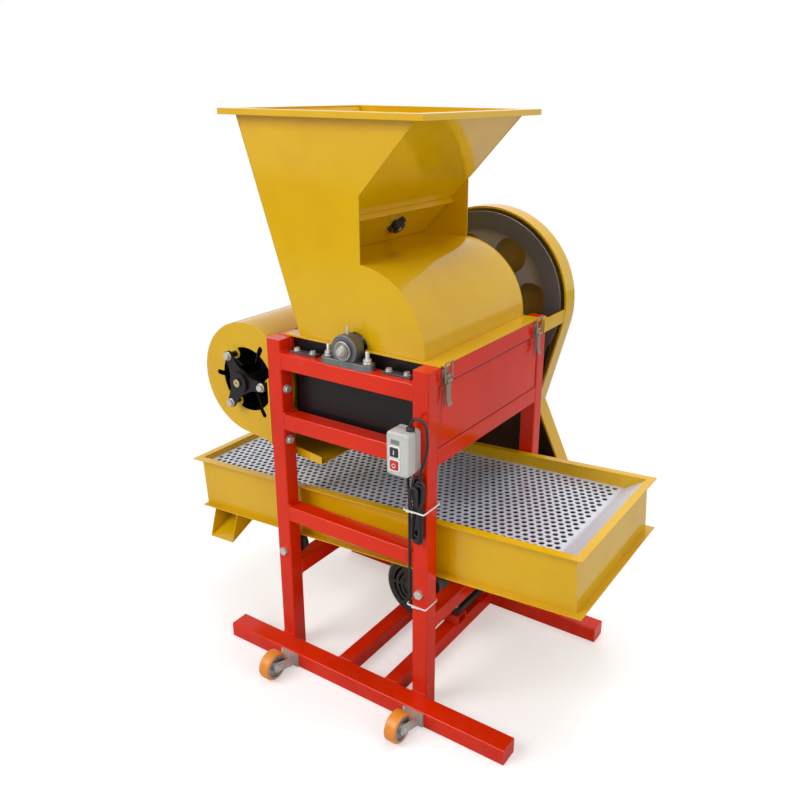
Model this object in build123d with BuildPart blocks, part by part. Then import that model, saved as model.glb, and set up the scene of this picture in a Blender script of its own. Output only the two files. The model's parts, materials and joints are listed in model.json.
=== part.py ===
from build123d import *
import os
from math import acos, atan2, cos, degrees, hypot, pi, radians, sin, tan

os.makedirs("parts", exist_ok=True)

# Millimetres. X runs along the sieve towards its high end, Y from the casters back to the belt guard and
# Z up from the floor. A depth is a distance behind the front face of the front legs.

# Stock and clearances
tube = 40.0
tube_wall = 3.0
tube_corner = 4.0
sheet = 2.5
plate = 4.0
gap = 0.3
fit = 0.05

# Frame
frame_width = 440.0
frame_depth = 540.0
skid_length = 804.0
skid_offset = 48.0
skid_depth = 50.0
skid_height = 40.0
low_rail_top = 245.0
sieve_rail_drop = 44.0
middle_rail_rise = 196.0
chamber_rise = 148.0
leg_rise = 29.0
panel_recess = 3.0

# Drum, its bearings and the grate under it
shaft_radius = 12.5
block_centre = 36.5
block_length = 140.0
block_width = 38.0
block_bolts = 105.0
drum_radius = 150.0
beater_height = 20.0
beater_width = 28.0
grate_gap = 12.0
grate_rod = 4.0
grate_rods = 19

# Hopper, drum cover and feed gate
hopper_inset = 50.0
hopper_height = 490.0
mouth_left = -319.0
mouth_right = 161.0
base_left = -160.0
throat_x = -118.0
ear_x = 14.0
rim_flange = 27.0
rim_lip = 13.0
notch_radius = 30.0
gate_height = 128.0
gate_lip = 14.0
gate_travel = 28.0
knob_radius = 25.0
knob_depth = 297.0
hinge_radius = 6.0
hinge_length = 80.0

# Sieve tray and its rollers
tray_length = 1116.0
tray_inset = 46.0
tray_height = 134.0
tray_flange = 17.0
tray_tilt = 0.06
deck_drop_low = 15.0
deck_drop_high = 35.0
roller_radius = 25.0
roller_width = 16.0
roller_bolt = 6.0
deck_lip = 52.0
chute_inset = 62.0
chute_width = 82.0
chute_back = 186.0
chute_front = 20.0
chute_drop = 70.0

# Sieve drive
throw = 6.0
eccentric_radius = 22.0
strap_wall = 6.0
strap_width = 24.0
eccentric_centre = 36.0
eccentric_shaft_radius = 12.0

# Belt drive
flywheel_radius = 200.0
flange_radius = 224.0
flywheel_width = 50.0
window_radius = 46.0
motor_pulley_radius = 48.0
sieve_drive_radius = 42.0
eccentric_pulley_radius = 110.0
fan_drive_radius = 105.0
fan_pulley_radius = 38.0
belt_width = 12.0
belt_height = 9.0
belt_pitch = 16.0
guard_radius = 236.0
guard_low_radius = 136.0
guard_motor_radius = 78.0
guard_depth = 54.0
guard_lean = 14.7
guard_waist = 281.5

# Motor
motor_x = 51.0
motor_centre = 90.0
motor_setback = 340.0
slide_height = 28.0
motor_cover_radius = 87.0
motor_body_radius = 74.0
motor_foot_x = 140.0
motor_foot_y = 125.0
motor_shaft_radius = 14.0
terminal_setback = 100.0
terminal_length = 80.0
terminal_rise = 128.0
boss_radius = 44.0

# Fan
fan_radius = 141.0
fan_offset = 113.0
fan_rise = 42.0
fan_inlet = 80.0
fan_slot_reach = 103.0
spider_radius = 69.0
spider_gap = 20.0
spider_plate = 6.0
duct_mouth_x = -108.0
duct_lip = 20.0
duct_fall = 7.2
duct_height = 78.0
fan_shaft_radius = 10.0
blade_radius = 126.0
blade_count = 5

# Casters, latches, switch and leads
caster_radius = 35.0
caster_width = 30.0
caster_reach = 112.5
caster_axle_z = 38.0
caster_x = (-153.0, 219.0)
latch_depth = 60.0
box_width = 55.0
box_depth = 46.0
box_height = 97.0
box_low = 610.0
button_size = 20.0
button_travel = 3.5
cord_radius = 3.25
lead_radius = 3.0

# Places worked out from those sizes
front_y = -(frame_depth + 136.0 - caster_reach - caster_radius) / 2
outer_x = frame_width / 2
inner_x = outer_x - tube
leg_x = outer_x - tube / 2
back_leg = frame_depth - tube
leg_rows = ((0, tube), (back_leg, frame_depth))
strap_radius = eccentric_radius + 2 * throw + 2 + strap_wall
eccentric = (inner_x - 30, low_rail_top + eccentric_centre)
rim_z = eccentric[1] + strap_radius + 8.5 + tray_height - tray_tilt * eccentric[0]
sieve_rail_top = rim_z - sieve_rail_drop
middle_rail_top = rim_z + middle_rail_rise
bearing_rail_top = middle_rail_top + chamber_rise
leg_height = bearing_rail_top + leg_rise
drum = (0, bearing_rail_top + block_centre)
motor = (motor_x, skid_height + slide_height + motor_centre)
motor_front = frame_depth - motor_setback
fan = (-outer_x - fan_offset, middle_rail_top + fan_rise)
hopper_back = frame_depth - hopper_inset
hopper_base = leg_height + gap + plate
hopper_top = leg_height + hopper_height
cover_radius = inner_x - 2
main_belts = (frame_depth + 82, frame_depth + 82 + belt_pitch)
sieve_belt = frame_depth + 119
fan_belt = frame_depth + 50
guard_back = frame_depth + 136
guard_front = guard_back - guard_depth
belt_seat = belt_height - 1.0
fan_depths = (tray_inset - 1, frame_depth - tray_inset + 1)
chute_left = chute_inset - tray_length / 2


def behind(depth):
    """Y of a place this far behind the front face of the front legs."""
    return front_y + depth


def facing(depth):
    """Plane seen from the front, X to the right and Z up, at this depth; it extrudes to the front."""
    return Plane.XZ.offset(-behind(depth))


def slab(x_range, depth_range, z_range, mode=Mode.ADD):
    """Block between three pairs of limits."""
    middle = [(low + high) / 2 for low, high in (x_range, depth_range, z_range)]
    with Locations((middle[0], behind(middle[1]), middle[2])):
        Box(
            x_range[1] - x_range[0],
            depth_range[1] - depth_range[0],
            z_range[1] - z_range[0],
            mode=mode,
        )


def square_tube(x_range, depth_range, z_range, along):
    """Open-ended tube with round corners that runs along one axis."""
    limits = [x_range, [behind(depth) for depth in depth_range], z_range]
    ends = limits.pop("XYZ".index(along))
    section_plane = {
        "X": Plane.YZ.offset(ends[0]),
        "Y": Plane.XZ.offset(-ends[1]),
        "Z": Plane.XY.offset(ends[0]),
    }[along]
    width, height = (high - low for low, high in limits)
    with BuildSketch(section_plane) as section:
        with Locations(tuple((low + high) / 2 for low, high in limits)):
            RectangleRounded(width, height, tube_corner)
            RectangleRounded(
                width - 2 * tube_wall,
                height - 2 * tube_wall,
                tube_corner - tube_wall,
                mode=Mode.SUBTRACT,
            )
    extrude(section.sketch, amount=ends[1] - ends[0])


def round_bar(radius, place, depth_range, mode=Mode.ADD):
    """Round bar along Y, centred on place = (X, Z)."""
    low, high = depth_range
    with Locations((place[0], behind((low + high) / 2), place[1])):
        Cylinder(radius, high - low, rotation=(90, 0, 0), mode=mode)


def hex_head(radius, place, depth_range):
    """Hexagon head or nut on an axis along Y."""
    low, high = depth_range
    with BuildSketch(facing(high)) as outline:
        with Locations(place):
            RegularPolygon(radius, 6)
    extrude(outline.sketch, amount=high - low)


def v_groove(place, radius, depth):
    """Groove for one belt in a pulley on an axis along Y."""
    x, z = place
    middle = behind(depth)
    top = belt_width / 2 + gap
    bottom = belt_width / 2 - 3 + gap
    with BuildSketch(Plane.YZ.offset(x)) as groove:
        with BuildLine():
            Polyline(
                (middle - top, z + radius + 1),
                (middle + top, z + radius + 1),
                (middle + bottom, z + radius - belt_seat - gap),
                (middle - bottom, z + radius - belt_seat - gap),
                close=True,
            )
        make_face()
    revolve(groove.sketch, axis=Axis((x, 0, z), (0, 1, 0)), mode=Mode.SUBTRACT)


def contact(first, first_radius, second, second_radius):
    """Direction from the first circle to the second, and the angle from it to the outer tangents."""
    run_x = second[0] - first[0]
    run_z = second[1] - first[1]
    heading = degrees(atan2(run_z, run_x))
    spread = degrees(acos((first_radius - second_radius) / hypot(run_x, run_z)))
    return heading, spread


def on_circle(centre, radius, angle):
    """Point of a circle in the XZ plane."""
    return (centre[0] + radius * cos(radians(angle)), centre[1] + radius * sin(radians(angle)))


# Sieve frame: X along the tray, Z square to its rim, origin in the middle of the rim
tray_middle = frame_depth / 2
tilt_cos = cos(tray_tilt)
tilt_sin = sin(tray_tilt)
sieve_plane = Plane(
    origin=(-tray_height * tilt_sin / 2, behind(tray_middle), rim_z),
    x_dir=(tilt_cos, 0, tilt_sin),
    z_dir=(-tilt_sin, 0, tilt_cos),
)
roller_drop = tray_height + gap + roller_radius


def roller_centre(x):
    """Place of a roller under the tray's lower flange, on the leg at this X."""
    along = (x + (tray_height / 2 - roller_drop) * tilt_sin) / tilt_cos
    return (x, rim_z + along * tilt_sin - roller_drop * tilt_cos)


# Legs, bored for the roller bolts
with BuildPart() as legs:
    for x in (-leg_x, leg_x):
        for row in leg_rows:
            square_tube((x - tube / 2, x + tube / 2), row, (0, leg_height), "Z")
            slab(
                (x - tube / 2 + tube_wall, x + tube / 2 - tube_wall),
                (row[0] + tube_wall, row[1] - tube_wall),
                (leg_height - tube_wall, leg_height),
            )
            round_bar(roller_bolt + fit, roller_centre(x), row, mode=Mode.SUBTRACT)
legs.part.label = "legs"
export_step(legs.part, "parts/legs.step")

# Skids across the front faces of both pairs of legs, welded shut at their ends
skid_rows = ((-skid_depth, 0), (back_leg - skid_depth, back_leg))
skid_ends = (skid_offset - skid_length / 2, skid_offset + skid_length / 2)
with BuildPart() as skids:
    for row in skid_rows:
        square_tube(skid_ends, row, (0, skid_height), "X")
        for cap in ((skid_ends[0], skid_ends[0] + tube_wall), (skid_ends[1] - tube_wall, skid_ends[1])):
            slab(cap, (row[0] + tube_wall, row[1] - tube_wall), (tube_wall, skid_height - tube_wall))
skids.part.label = "skids"
export_step(skids.part, "parts/skids.step")

# Two bars between the skids, and the slide rails across them under the motor's feet
slide_top = skid_height + slide_height
slide_half = motor_foot_x / 2 + 25
foot_top = slide_top + 14
foot_depths = (motor_front + 74, motor_front + 74 + motor_foot_y + 22)
foot_bolts = (foot_depths[0] + 11, foot_depths[1] - 11)
with BuildPart() as motor_bars:
    for side in (-1, 1):
        x = motor_x + side * motor_foot_x / 2
        square_tube((x - tube / 2, x + tube / 2), (0, back_leg - skid_depth), (0, skid_height), "Y")
    for depth in foot_bolts:
        square_tube(
            (motor_x - slide_half, motor_x + slide_half),
            (depth - tube / 2, depth + tube / 2),
            (skid_height, slide_top),
            "X",
        )
motor_bars.part.label = "motor_bars"
export_step(motor_bars.part, "parts/motor_bars.step")

# Cross rails of the front and rear frames
with BuildPart() as cross_rails:
    for row in leg_rows:
        for top in (bearing_rail_top, middle_rail_top, sieve_rail_top):
            square_tube((-inner_x, inner_x), row, (top - tube, top), "X")
    square_tube((-inner_x, inner_x), leg_rows[1], (low_rail_top - tube, low_rail_top), "X")
cross_rails.part.label = "cross_rails"
export_step(cross_rails.part, "parts/cross_rails.step")

# Side rails between the two frames; the fan takes the place of the left middle one
right_middle_top = middle_rail_top - 3
with BuildPart() as side_rails:
    for x in (-leg_x, leg_x):
        for top in (leg_height, low_rail_top):
            square_tube((x - tube / 2, x + tube / 2), (tube, back_leg), (top - tube, top), "Y")
    square_tube((inner_x, outer_x), (tube, back_leg), (right_middle_top - tube, right_middle_top), "Y")
side_rails.part.label = "side_rails"
export_step(side_rails.part, "parts/side_rails.step")

# Pressed side panel between the right rails, its middle raised towards the outside
panel_face = outer_x - panel_recess
panel_z = (right_middle_top, leg_height - tube)
panel_border = 14.0
with BuildPart() as side_panel:
    slab((panel_face - sheet, panel_face), (tube, back_leg), panel_z)
    slab(
        (panel_face - sheet, panel_face + 1),
        (tube + panel_border, back_leg - panel_border),
        (panel_z[0] + panel_border, panel_z[1] - panel_border),
    )
side_panel.part.label = "side_panel"
export_step(side_panel.part, "parts/side_panel.step")

# Black drum chamber: four plates open above and below, notched for the shaft
chamber_top = leg_height - 2
chamber_low = middle_rail_top - 31
chamber_rows = (
    (hopper_inset, hopper_inset + plate),
    (hopper_back - plate, hopper_back),
)
with BuildPart() as drum_chamber:
    slab((-inner_x, inner_x), (hopper_inset, hopper_back), (chamber_low, chamber_top))
    slab(
        (-inner_x + sheet, inner_x - sheet),
        (hopper_inset + plate, hopper_back - plate),
        (chamber_low, chamber_top),
        mode=Mode.SUBTRACT,
    )
    round_bar(notch_radius, drum, (hopper_inset, hopper_back), mode=Mode.SUBTRACT)
drum_chamber.part.label = "drum_chamber"
export_step(drum_chamber.part, "parts/drum_chamber.step")

# Concave grate of round rods between curved bars, welded into the chamber
grate_inside = drum_radius + grate_gap
grate_depths = (hopper_inset + plate, hopper_back - plate)
grate_bar = 8.0
grate_outside = grate_inside + 2 * grate_rod + 2
grate_middle = (grate_depths[0] + grate_depths[1]) / 2
with BuildPart() as concave_grate:
    for back in (grate_depths[0] + grate_bar, grate_middle + grate_bar / 2, grate_depths[1]):
        with BuildSketch(facing(back)):
            with Locations(drum):
                Circle(grate_outside)
                Circle(grate_inside, mode=Mode.SUBTRACT)
            with Locations((0, drum[1] + grate_outside - 20)):
                Rectangle(2 * grate_outside + 1, 2 * grate_outside, mode=Mode.SUBTRACT)
        extrude(amount=grate_bar)
    for number in range(grate_rods):
        angle = 191 + number * 158 / (grate_rods - 1)
        place = on_circle(drum, grate_inside + grate_rod, angle)
        round_bar(grate_rod, place, grate_depths)
concave_grate.part.label = "concave_grate"
export_step(concave_grate.part, "parts/concave_grate.step")

# Pillow blocks of the drum shaft on the bearing rails, and the eccentric's cartridge on the low rail
block_depths = (tube / 2, frame_depth - tube / 2)
block_base = 14.0
housing_radius = 34.0
cartridge_radius = 27.0
cartridge_half = 30.0
cartridge_depths = (block_depths[1] - cartridge_half, block_depths[1] + cartridge_half)
with BuildPart() as bearing_blocks:
    for depth in block_depths:
        with BuildPart(mode=Mode.PRIVATE) as foot:
            with BuildSketch(Plane.XY.offset(bearing_rail_top)):
                with Locations((0, behind(depth))):
                    SlotOverall(block_length, block_width)
            extrude(amount=block_base, taper=6)
            fillet(foot.faces().sort_by(Axis.Z)[-1].edges(), 2.5)
        with BuildPart(mode=Mode.PRIVATE) as housing:
            round_bar(housing_radius, drum, (depth - 15, depth + 15))
            fillet(housing.edges().filter_by(GeomType.CIRCLE), 2.5)
            slab((-28, 28), (depth - 12, depth + 12), (bearing_rail_top + 1, drum[1]))
            round_bar(housing_radius - 11, drum, (depth - block_width / 2, depth + block_width / 2))
        add(foot.part)
        add(housing.part)
        round_bar(shaft_radius + fit, drum, (depth - tube, depth + tube), mode=Mode.SUBTRACT)
        with Locations((0, behind(depth), drum[1] + housing_radius)):
            Cylinder(3.5, 12)
        with Locations((0, behind(depth), bearing_rail_top + block_base / 2)):
            with GridLocations(block_bolts, 0, 2, 1):
                Cylinder(6.5, block_base, mode=Mode.SUBTRACT)
    slab(
        (eccentric[0] - cartridge_radius, eccentric[0] + cartridge_radius),
        leg_rows[1],
        (low_rail_top, eccentric[1]),
    )
    round_bar(cartridge_radius, eccentric, cartridge_depths)
    round_bar(eccentric_shaft_radius + fit, eccentric, cartridge_depths, mode=Mode.SUBTRACT)
bearing_blocks.part.label = "bearing_blocks"
export_step(bearing_blocks.part, "parts/bearing_blocks.step")

# Flat strips that hold the grate's ends to the bearing rails
strip_length = 75.0
strip_x = 127.0
strip_height = 5.0
with BuildPart() as rail_strips:
    for depth in block_depths:
        for x in (-strip_x, strip_x):
            slab(
                (x - strip_length / 2, x + strip_length / 2),
                (depth - 4, depth + 16),
                (bearing_rail_top, bearing_rail_top + strip_height),
            )
rail_strips.part.label = "rail_strips"
export_step(rail_strips.part, "parts/rail_strips.step")

# Frame bolts: studs and nuts of the blocks, bolts of the strips, the motor's feet and the fan
nut_height = 9.0
stud_rise = 40.0
with BuildPart() as frame_bolts:
    for depth in block_depths:
        for x in (-block_bolts / 2, block_bolts / 2):
            with BuildSketch(Plane.XY.offset(bearing_rail_top)):
                with Locations((x, behind(depth))):
                    Circle(5)
            extrude(amount=stud_rise)
            with BuildSketch(Plane.XY.offset(bearing_rail_top + block_base)):
                with Locations((x, behind(depth))):
                    RegularPolygon(10, 6)
            extrude(amount=nut_height)
        for x in (-strip_x, strip_x):
            with BuildSketch(Plane.XY.offset(bearing_rail_top + strip_height)):
                with Locations((x, behind(depth + 6))):
                    with GridLocations(46, 0, 2, 1):
                        RegularPolygon(7, 6)
            extrude(amount=6)
    for x in (motor_x - motor_foot_x / 2, motor_x + motor_foot_x / 2):
        for depth in foot_bolts:
            with BuildSketch(Plane.XY.offset(foot_top)):
                with Locations((x, behind(depth))):
                    RegularPolygon(9, 6)
            extrude(amount=7)
    for depth in (tube / 2 - 4, frame_depth - tube / 2 + 4):
        for z in (fan[1] - 111, fan[1] + 16):
            with BuildSketch(Plane.YZ.offset(-inner_x)):
                with Locations((behind(depth), z)):
                    RegularPolygon(8, 6)
            extrude(amount=6)
    for face, side in zip(fan_depths, (-1, 1)):
        seat = face + side * (spider_gap + spider_plate)
        for number in range(3):
            place = on_circle(fan, spider_radius, 120 * number)
            round_bar(11, place, sorted((seat, seat + side * 2)))
            hex_head(9, place, sorted((seat + side * 2, seat + side * 9)))
frame_bolts.part.label = "frame_bolts"
export_step(frame_bolts.part, "parts/frame_bolts.step")

# Drum shaft with its rotor of three spiders and four beater bars
shaft_front = -4.0
shaft_back = frame_depth + 126
with BuildPart() as drum_shaft:
    round_bar(shaft_radius, drum, (shaft_front, shaft_back))
    chamfer(drum_shaft.edges().filter_by(GeomType.CIRCLE), 1.5)
drum_shaft.part.label = "drum_shaft"
export_step(drum_shaft.part, "parts/drum_shaft.step")

spider_reach = drum_radius - beater_height
rotor_depths = (hopper_inset + plate + 9, hopper_back - plate - 9)
spider_depths = (rotor_depths[0] + 22, frame_depth / 2, rotor_depths[1] - 22)
with BuildPart() as drum_rotor:
    for depth in spider_depths:
        with BuildSketch(facing(depth + 5)):
            with Locations(drum):
                with PolarLocations(spider_reach / 2, 4):
                    Rectangle(spider_reach, beater_width)
        extrude(amount=10)
        round_bar(32, drum, (depth - 16, depth + 16))
        round_bar(shaft_radius + fit, drum, (depth - 16, depth + 16), mode=Mode.SUBTRACT)
    with BuildSketch(facing(rotor_depths[1])):
        with Locations(drum):
            with PolarLocations(spider_reach + beater_height / 2, 4):
                RectangleRounded(beater_height, beater_width, 5)
    extrude(amount=rotor_depths[1] - rotor_depths[0])
drum_rotor.part.label = "drum_rotor"
export_step(drum_rotor.part, "parts/drum_rotor.step")

# Cast flywheel pulley with six windows, two belt grooves and a wide flange in front of them
flywheel_front = frame_depth + 70
flywheel_back = flywheel_front + flywheel_width
flywheel_middle = (flywheel_front + flywheel_back) / 2
rim_inside = flywheel_radius - 22
hub_radius = 45.0
with BuildPart() as flywheel_pulley:
    round_bar(flywheel_radius, drum, (flywheel_front, flywheel_back))
    round_bar(flange_radius, drum, (flywheel_front, flywheel_front + 5))
    for recess in ((flywheel_front, flywheel_middle - 7), (flywheel_middle + 7, flywheel_back)):
        round_bar(rim_inside, drum, recess, mode=Mode.SUBTRACT)
    round_bar(hub_radius, drum, (flywheel_front - 6, flywheel_back + 4))
    with BuildSketch(facing(flywheel_middle + 7)):
        with Locations(drum):
            with PolarLocations((hub_radius + rim_inside) / 2 + 18, 6):
                Circle(window_radius)
    extrude(amount=14, mode=Mode.SUBTRACT)
    round_bar(shaft_radius + fit, drum, (flywheel_front - 6, flywheel_back + 4), mode=Mode.SUBTRACT)
    for depth in main_belts:
        v_groove(drum, flywheel_radius, depth)
flywheel_pulley.part.label = "flywheel_pulley"
export_step(flywheel_pulley.part, "parts/flywheel_pulley.step")


def small_pulley(place, radius, depth, bore):
    """Pulley for one belt, 20 wide, with a webbed disc where it is large enough."""
    round_bar(radius, place, (depth - 10, depth + 10))
    if radius > 60:
        for recess in ((depth - 10, depth - 4), (depth + 4, depth + 10)):
            round_bar(radius - 20, place, recess, mode=Mode.SUBTRACT)
        with BuildSketch(facing(depth + 4)) as holes:
            with Locations(place):
                with PolarLocations(radius * 0.52, 5):
                    Circle(radius * 0.2)
        extrude(holes.sketch, amount=8, mode=Mode.SUBTRACT)
    round_bar(bore + 12, place, (depth - 11, depth + 9))
    round_bar(bore + fit, place, (depth - 11, depth + 10), mode=Mode.SUBTRACT)
    v_groove(place, radius, depth)


with BuildPart() as fan_drive_pulley:
    small_pulley(drum, fan_drive_radius, fan_belt, shaft_radius)
fan_drive_pulley.part.label = "fan_drive_pulley"
export_step(fan_drive_pulley.part, "parts/fan_drive_pulley.step")

# Hopper: two side plates of one outline, with the ears and the round of the drum cover
wall_run = (mouth_right - throat_x, hopper_top - plate - drum[1] - cover_radius)
wall_length = hypot(*wall_run)
wall_up = (wall_run[0] / wall_length, wall_run[1] / wall_length)
wall_out = (wall_up[1], -wall_up[0])
cover_top = drum[1] + cover_radius
plate_top = hopper_top - plate
ear_top = cover_top + (ear_x - throat_x) * wall_up[1] / wall_up[0]
ear_foot = drum[1] + (cover_radius**2 - ear_x**2) ** 0.5
with BuildPart() as hopper_side_plates:
    for back in (hopper_inset + sheet, hopper_back):
        with BuildSketch(facing(back)):
            with BuildLine():
                Polyline(
                    (cover_radius, drum[1]),
                    (cover_radius, hopper_base),
                    (base_left, hopper_base),
                    (mouth_left, plate_top),
                    (mouth_right, plate_top),
                    (ear_x, ear_top),
                    (ear_x, ear_foot),
                )
                RadiusArc((ear_x, ear_foot), (cover_radius, drum[1]), cover_radius)
            make_face()
            with Locations(drum):
                Circle(notch_radius, mode=Mode.SUBTRACT)
        extrude(amount=sheet)
hopper_side_plates.part.label = "hopper_side_plates"
export_step(hopper_side_plates.part, "parts/hopper_side_plates.step")

# Sloping left wall of the hopper
wall_depths = (hopper_inset + sheet, hopper_back - sheet)
wall_width = wall_depths[1] - wall_depths[0]
left_in = sheet / cos(atan2(base_left - mouth_left, plate_top - hopper_base))
with BuildPart() as hopper_left_wall:
    with BuildSketch(facing(wall_depths[1])):
        with BuildLine():
            Polyline(
                (base_left, hopper_base),
                (base_left + left_in, hopper_base),
                (mouth_left + left_in, plate_top),
                (mouth_left, plate_top),
                close=True,
            )
        make_face()
    extrude(amount=wall_width)
hopper_left_wall.part.label = "hopper_left_wall"
export_step(hopper_left_wall.part, "parts/hopper_left_wall.step")

# Sloping right wall, slotted for the gate's stud
gate_plane = Plane(
    origin=(throat_x, behind(knob_depth), cover_top),
    x_dir=(0, 1, 0),
    z_dir=(wall_out[0], 0, wall_out[1]),
)
gate_middle = frame_depth / 2 - knob_depth
stud_radius = 5.0
stud_up = 68.0
right_in = sheet / wall_out[0]
with BuildPart(gate_plane) as hopper_right_wall:
    with BuildSketch(facing(wall_depths[1])):
        with BuildLine():
            Polyline(
                (throat_x, cover_top),
                (mouth_right, plate_top),
                (mouth_right - right_in, plate_top),
                (throat_x - right_in, cover_top),
                close=True,
            )
        make_face()
    extrude(amount=wall_width)
    with Locations((0, stud_up - gate_travel / 2, -sheet / 2)):
        Box(2 * stud_radius + 1, gate_travel + 2 * stud_radius + 1, sheet, mode=Mode.SUBTRACT)
hopper_right_wall.part.label = "hopper_right_wall"
export_step(hopper_right_wall.part, "parts/hopper_right_wall.step")

# Drum cover: a quarter round and a flat up to the gate's slot
gate_sheet = 3.0
slot_edge = throat_x + (gap + gate_sheet + 1.0) / wall_out[0]
with BuildPart() as drum_cover:
    with BuildSketch(facing(wall_depths[1])):
        with BuildLine():
            Polyline(
                (cover_radius - sheet, drum[1]),
                (cover_radius - sheet, hopper_base),
                (cover_radius, hopper_base),
                (cover_radius, drum[1]),
            )
            CenterArc(drum, cover_radius, 0, 90)
            Polyline(
                (0, cover_top),
                (slot_edge, cover_top),
                (slot_edge, cover_top - sheet),
                (0, cover_top - sheet),
            )
            CenterArc(drum, cover_radius - sheet, 0, 90)
        make_face()
    extrude(amount=wall_width)
drum_cover.part.label = "drum_cover"
export_step(drum_cover.part, "parts/drum_cover.step")

# Rim: an outward flange with a lip turned down
rim_x = (mouth_left - rim_flange, mouth_right + rim_flange)
rim_depths = (hopper_inset - rim_flange, hopper_back + rim_flange)
with BuildPart() as hopper_rim:
    slab(rim_x, rim_depths, (hopper_top - rim_lip, hopper_top))
    slab(
        (rim_x[0] + sheet, rim_x[1] - sheet),
        (rim_depths[0] + sheet, rim_depths[1] - sheet),
        (hopper_top - rim_lip, plate_top),
        mode=Mode.SUBTRACT,
    )
    slab(
        (mouth_left + left_in, mouth_right - left_in),
        wall_depths,
        (plate_top, hopper_top),
        mode=Mode.SUBTRACT,
    )
hopper_rim.part.label = "hopper_rim"
export_step(hopper_rim.part, "parts/hopper_rim.step")

# Foot flange of the hopper on the frame, with two latch tabs and the moving hinge knuckles
flange_z = (leg_height + gap, hopper_base)
flange_left = -leg_x + 2
tab_reach = outer_x + 8
tab_width = 20.0
latch_depths = (latch_depth, frame_depth - latch_depth)
hinge = (-leg_x - 5, leg_height + gap + hinge_radius + 1)
hinge_depths = (frame_depth / 4, frame_depth * 3 / 4)
knuckle = hinge_length / 3
hinge_pin = 3.0
with BuildPart() as cover_flange:
    slab((flange_left, outer_x), (hopper_inset - 9, hopper_back + 9), flange_z)
    slab(
        (base_left + sheet, cover_radius - sheet),
        (hopper_inset + sheet, hopper_back - sheet),
        flange_z,
        mode=Mode.SUBTRACT,
    )
    for depth in latch_depths:
        slab((cover_radius, tab_reach), (depth - tab_width / 2, depth + tab_width / 2), flange_z)
    for depth in hinge_depths:
        knuckle_depths = (depth - knuckle / 2 + gap, depth + knuckle / 2 - gap)
        round_bar(hinge_radius, hinge, knuckle_depths)
        slab((hinge[0], flange_left + 1), knuckle_depths, flange_z)
        round_bar(hinge_pin + fit, hinge, knuckle_depths, mode=Mode.SUBTRACT)
    round_bar(notch_radius, drum, (0, frame_depth), mode=Mode.SUBTRACT)
cover_flange.part.label = "cover_flange"
export_step(cover_flange.part, "parts/cover_flange.step")

# Fixed hinge leaves on the left rail, each with two knuckles and the pin
with BuildPart() as cover_hinges:
    for depth in hinge_depths:
        for side in (-1, 1):
            knuckle_depths = sorted((depth + side * hinge_length / 2, depth + side * knuckle / 2))
            round_bar(hinge_radius, hinge, knuckle_depths)
            slab((-outer_x + 2, hinge[0]), knuckle_depths, (leg_height, leg_height + 3))
        slab(
            (-outer_x + 2, hinge[0] - hinge_radius - 1),
            (depth - hinge_length / 2, depth + hinge_length / 2),
            (leg_height, leg_height + 3),
        )
        round_bar(hinge_pin, hinge, (depth - hinge_length / 2 - 2, depth + hinge_length / 2 + 2))
cover_hinges.part.label = "cover_hinges"
export_step(cover_hinges.part, "parts/cover_hinges.step")

# Feed gate: a plate with a lip and a stud that runs in the wall's slot
gate_width = wall_width - 3
with BuildPart(gate_plane) as feed_gate:
    with Locations((gate_middle, gate_height / 2 - 3, gap + gate_sheet / 2)):
        Box(gate_width, gate_height, gate_sheet)
    with Locations((gate_middle, gate_height - 3 - gate_sheet / 2, gap + gate_lip / 2)):
        Box(gate_width, gate_sheet, gate_lip)
    with Locations((0, stud_up, 6)):
        Cylinder(stud_radius, 32)
    with Locations((0, stud_up, -sheet - gap - 1.5)):
        Cylinder(2.2 * stud_radius, 3)
feed_gate.part.label = "feed_gate"
export_step(feed_gate.part, "parts/feed_gate.step")

# Lobed clamping knob on the stud
knob_seat = gap + gate_sheet + gap
knob_lobe = 7.0
with BuildPart() as gate_knob:
    with BuildSketch(gate_plane.offset(knob_seat)):
        with Locations((0, stud_up)):
            Circle(knob_radius - knob_lobe)
            with PolarLocations(knob_radius - knob_lobe, 5):
                Circle(knob_lobe)
    extrude(amount=12)
    with BuildSketch(gate_plane.offset(knob_seat + 12)):
        with Locations((0, stud_up)):
            Circle(knob_radius - knob_lobe - 4)
    extrude(amount=6)
    with BuildSketch(gate_plane):
        with Locations((0, stud_up)):
            Circle(stud_radius + fit)
    extrude(amount=40, mode=Mode.SUBTRACT)
gate_knob.part.label = "gate_knob"
export_step(gate_knob.part, "parts/gate_knob.step")

# Draw latches at the right corners: base with ears and pin, lever, wire loop over the tab
latch_pin = (outer_x + 7, leg_height - 21)
loop_pin = (outer_x + 10.5, leg_height - 31)
loop_top = hopper_base + 6
wire = 1.8
ear_inside = 9.0
loop_half = 13.5
with BuildPart() as latch_bases:
    for depth in latch_depths:
        slab((outer_x, outer_x + 2), (depth - 12, depth + 12), (leg_height - tube, leg_height - 5))
        for side in (-1, 1):
            ear = sorted((depth + side * ear_inside, depth + side * (ear_inside + 2)))
            slab((outer_x, latch_pin[0]), ear, (latch_pin[1] - 4, latch_pin[1] + 4))
            round_bar(4, latch_pin, ear)
        round_bar(2, latch_pin, (depth - ear_inside - 2, depth + ear_inside + 2))
latch_bases.part.label = "latch_bases"
export_step(latch_bases.part, "parts/latch_bases.step")

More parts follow.
